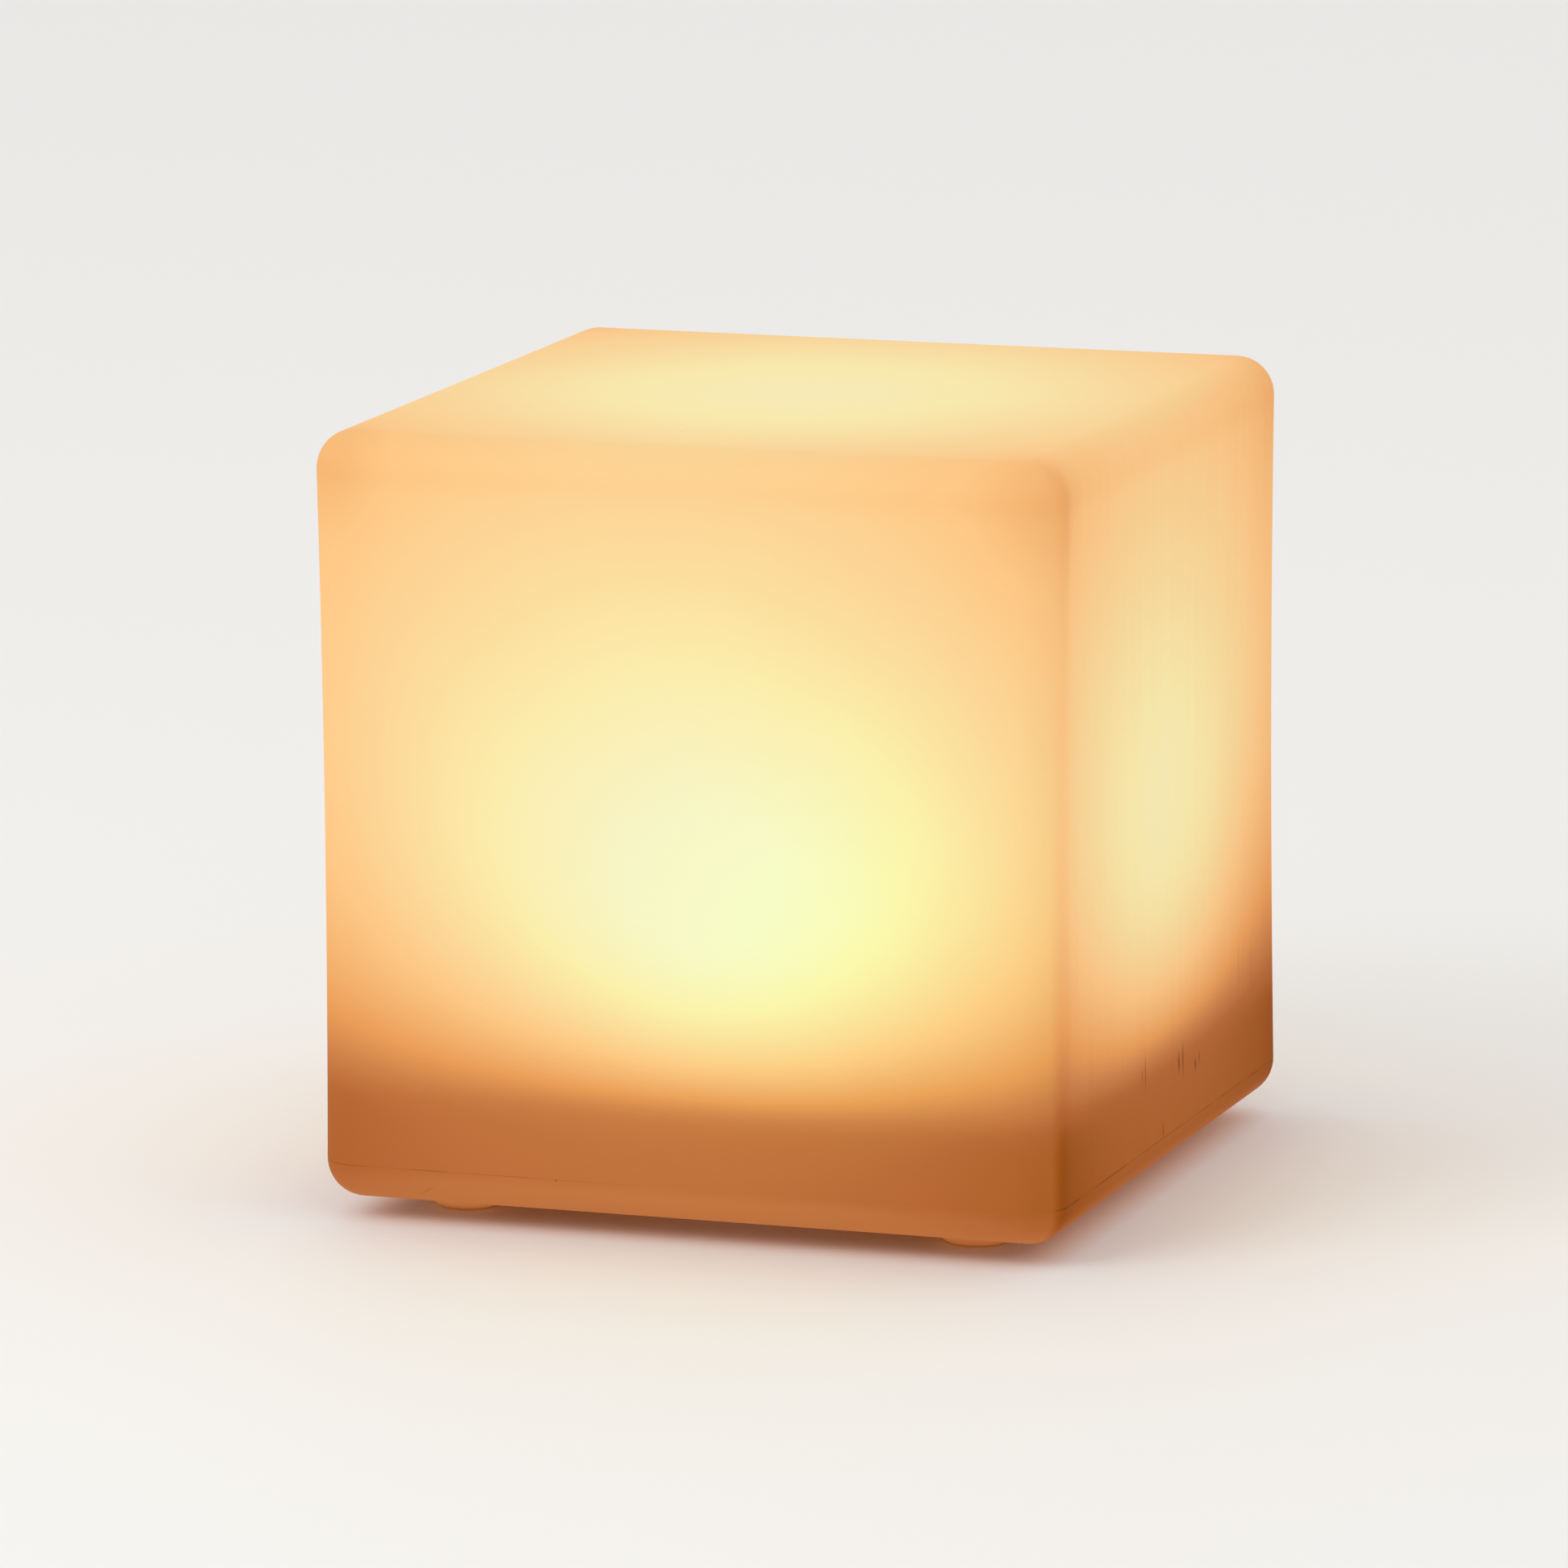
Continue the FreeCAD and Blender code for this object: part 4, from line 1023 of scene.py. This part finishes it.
mode_cap, face_middle = button("mode_button_cap", "mode_button")
select_nothing()
bpy.ops.mesh.primitive_uv_sphere_add(radius=DOT_RADIUS, segments=32, ring_count=16, location=face_middle)
bpy.context.object.scale = (1.0, 1.0, DOT_FLATNESS)
join_solid(mode_cap, added("dot"))
smooth(mode_cap, 32.0)
complete(mode_cap, silicone, "mode_button", "mode_button")


# ---- Charging socket -------------------------------------------------------------------------
# A black barrel socket: its round nose fills the hole in the pocket's roof, its square housing
# stands behind it, and a nickel pin stands in the bore. Beside it is a square clear light pipe.

JACK_NOSE = 0.0045
JACK_BORE = 0.00285
JACK_BORE_DEPTH = 0.0093
JACK_PROUD = 0.0012
ROOF_WALL = 0.0022
PIN_TIP = 0.0005
NOSE_EASE = 0.0004
PIPE_EASE = 0.0003

low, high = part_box("charging_jack")
jack_x = (low.x + high.x) / 2
jack_y = (low.y + high.y) / 2
housing_low = low.z + JACK_PROUD + ROOF_WALL
jack = upright_cylinder("charging_socket", JACK_NOSE, low.z, housing_low + 2 * TINY, jack_x, jack_y, 64)
pick(jack, "EDGE", lambda point: point.z < low.z + TINY)
bpy.ops.mesh.bevel(offset=NOSE_EASE, segments=3, affect="EDGES")
housing = block("housing", (low.x, low.y, housing_low), high)
ease_edges(housing, NOSE_EASE)
join_solid(jack, housing)
bore_low = low.z - PAST_PART
bore_top = low.z + JACK_BORE_DEPTH
cut_away(jack, upright_cylinder("bore", JACK_BORE, bore_low, bore_top, jack_x, jack_y, 48))
smooth(jack, 32.0)
complete(jack, black_moulding, "charging_jack", "lamp")

low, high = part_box("jack_pin")
pin = upright_cylinder("socket_pin", (high.x - low.x) / 2, low.z, high.z, jack_x, jack_y, 32)
pick(pin, "EDGE", lambda point: point.z < low.z + TINY)
bpy.ops.mesh.bevel(offset=PIN_TIP, segments=5, affect="EDGES")
smooth(pin, 32.0)
complete(pin, nickel, "jack_pin", "lamp")

low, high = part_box("charge_light_pipe")
pipe = block("charge_window", low, high)
ease_edges(pipe, PIPE_EASE, 3)
smooth(pipe, 40.0)
complete(pipe, clear_plastic, "charge_light_pipe", "lamp")


# ---- Socket bung -----------------------------------------------------------------------------
# A silicone bung closes the socket. Its strap bends beside a post that is pulled through the
# pocket's roof, and its round face has three grip ribs and a plug that enters the bore.

BUNG_RADIUS = 0.0058
BUNG_THICKNESS = 0.0020
BUNG_SPIGOT = 0.0026
STRAP_HALF_WIDTH = 0.0025
GRIP_RADIUS = 0.00035
GRIP_LENGTH = 0.0060
GRIP_PITCH = 0.0017
BUNG_EASE = 0.00025
POST_EASE = 0.0005

low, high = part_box("port_bung")
bend_radius = BUNG_THICKNESS / 2
bung_middle = low.z + bend_radius
strap_end = high.x - bend_radius


def lying_cylinder(name, radius, length, x, z, sides):
    select_nothing()
    lying = (math.pi / 2, 0.0, 0.0)
    bpy.ops.mesh.primitive_cylinder_add(
        vertices=sides, radius=radius, depth=length, location=(x, jack_y, z), rotation=lying)
    return added(name)


bung = upright_cylinder("socket_bung", BUNG_RADIUS, low.z, low.z + BUNG_THICKNESS, jack_x, jack_y, 72)
strap_low = (jack_x, jack_y - STRAP_HALF_WIDTH, low.z)
strap_high = (strap_end, jack_y + STRAP_HALF_WIDTH, low.z + BUNG_THICKNESS)
join_solid(bung, block("strap", strap_low, strap_high))
join_solid(bung, lying_cylinder("bend", bend_radius, 2 * STRAP_HALF_WIDTH, strap_end, bung_middle, 32))
join_solid(bung, upright_cylinder("spigot", BUNG_SPIGOT, bung_middle, high.z, jack_x, jack_y, 48))
ease_edges(bung, BUNG_EASE, 2, 50.0)
for step in (-1, 0, 1):
    grip_x = jack_x + step * GRIP_PITCH
    join_solid(bung, lying_cylinder("grip", GRIP_RADIUS, GRIP_LENGTH, grip_x, low.z + GRIP_RADIUS / 2, 16))
smooth(bung, 40.0)
complete(bung, silicone, "port_bung", "port_bung")

post = eased_copy("bung_anchor", "bung_post", POST_EASE, 3, 40.0)
complete(post, silicone, "bung_anchor", "lamp")


# ---- Room ------------------------------------------------------------------------------------
# A plain pale floor in soft daylight, with one broad lamp at the front left. The floor can be
# looked through from below, and lets light through to the underside, so that low views show it.

FLOOR_SIZE = 40.0
DAYLIGHT = 0.92
LAMP_PLACE = (-1.6, -2.2, 2.4)
LAMP_AIM = (0.0, 0.0, 0.15)
LAMP_SIZE = 1.8
LAMP_POWER = 25.0

select_nothing()
bpy.ops.mesh.primitive_plane_add(size=FLOOR_SIZE, location=(0.0, 0.0, 0.0))
floor = added("floor")
paper = bpy.data.materials.new("pale_floor")
paper.use_nodes = True
nodes = paper.node_tree.nodes
links = paper.node_tree.links
paper_surface = nodes["Principled BSDF"]
paper_surface.inputs["Base Color"].default_value = (0.86, 0.85, 0.83, 1.0)
paper_surface.inputs["Roughness"].default_value = 0.65
paper_surface.inputs["Specular IOR Level"].default_value = 0.2
ray = nodes.new("ShaderNodeLightPath")
floor_side = nodes.new("ShaderNodeNewGeometry")
floor_spot = nodes.new("ShaderNodeTexCoord")
floor_place = nodes.new("ShaderNodeSeparateXYZ")
links.new(floor_spot.outputs["Object"], floor_place.inputs[0])
from_below = product(ray.outputs["Is Camera Ray"], floor_side.outputs["Backfacing"])
under_cube = product(
    calc("LESS_THAN", calc("ABSOLUTE", floor_place.outputs["X"]), flat_reach),
    calc("LESS_THAN", calc("ABSOLUTE", floor_place.outputs["Y"]), flat_reach),
)
to_underside = product(ray.outputs["Is Diffuse Ray"], under_cube)
clear_floor = nodes.new("ShaderNodeBsdfTransparent")
floor_mix = nodes.new("ShaderNodeMixShader")
links.new(calc("MAXIMUM", from_below, to_underside), floor_mix.inputs["Fac"])
links.new(paper_surface.outputs[0], floor_mix.inputs[1])
links.new(clear_floor.outputs[0], floor_mix.inputs[2])
links.new(floor_mix.outputs[0], nodes["Material Output"].inputs["Surface"])
floor.data.materials.append(paper)

world = bpy.data.worlds.new("daylight")
bpy.context.scene.world = world
world.use_nodes = True
nodes = world.node_tree.nodes
links = world.node_tree.links
sky_light = nodes["Background"]
sky_light.inputs["Color"].default_value = (1.0, 1.0, 1.0, 1.0)
sky_light.inputs["Strength"].default_value = DAYLIGHT
sky_seen = nodes.new("ShaderNodeBackground")
sky_seen.inputs["Color"].default_value = (1.0, 1.0, 1.0, 1.0)
sky_ray = nodes.new("ShaderNodeLightPath")
sky_mix = nodes.new("ShaderNodeMixShader")
through = calc("MAXIMUM", sky_ray.outputs["Is Glossy Ray"], sky_ray.outputs["Is Transmission Ray"])
links.new(calc("MAXIMUM", sky_ray.outputs["Is Camera Ray"], through), sky_mix.inputs["Fac"])
links.new(sky_light.outputs[0], sky_mix.inputs[1])
links.new(sky_seen.outputs[0], sky_mix.inputs[2])
links.new(sky_mix.outputs[0], nodes["World Output"].inputs["Surface"])

bpy.ops.object.light_add(type="AREA", location=LAMP_PLACE)
lamp = bpy.context.object
lamp.name = "broad_lamp"
lamp.data.size = LAMP_SIZE
lamp.data.energy = LAMP_POWER
lamp.rotation_euler = (Vector(LAMP_AIM) - lamp.location).to_track_quat("-Z", "Y").to_euler()
bpy.context.scene.view_settings.view_transform = "Standard"
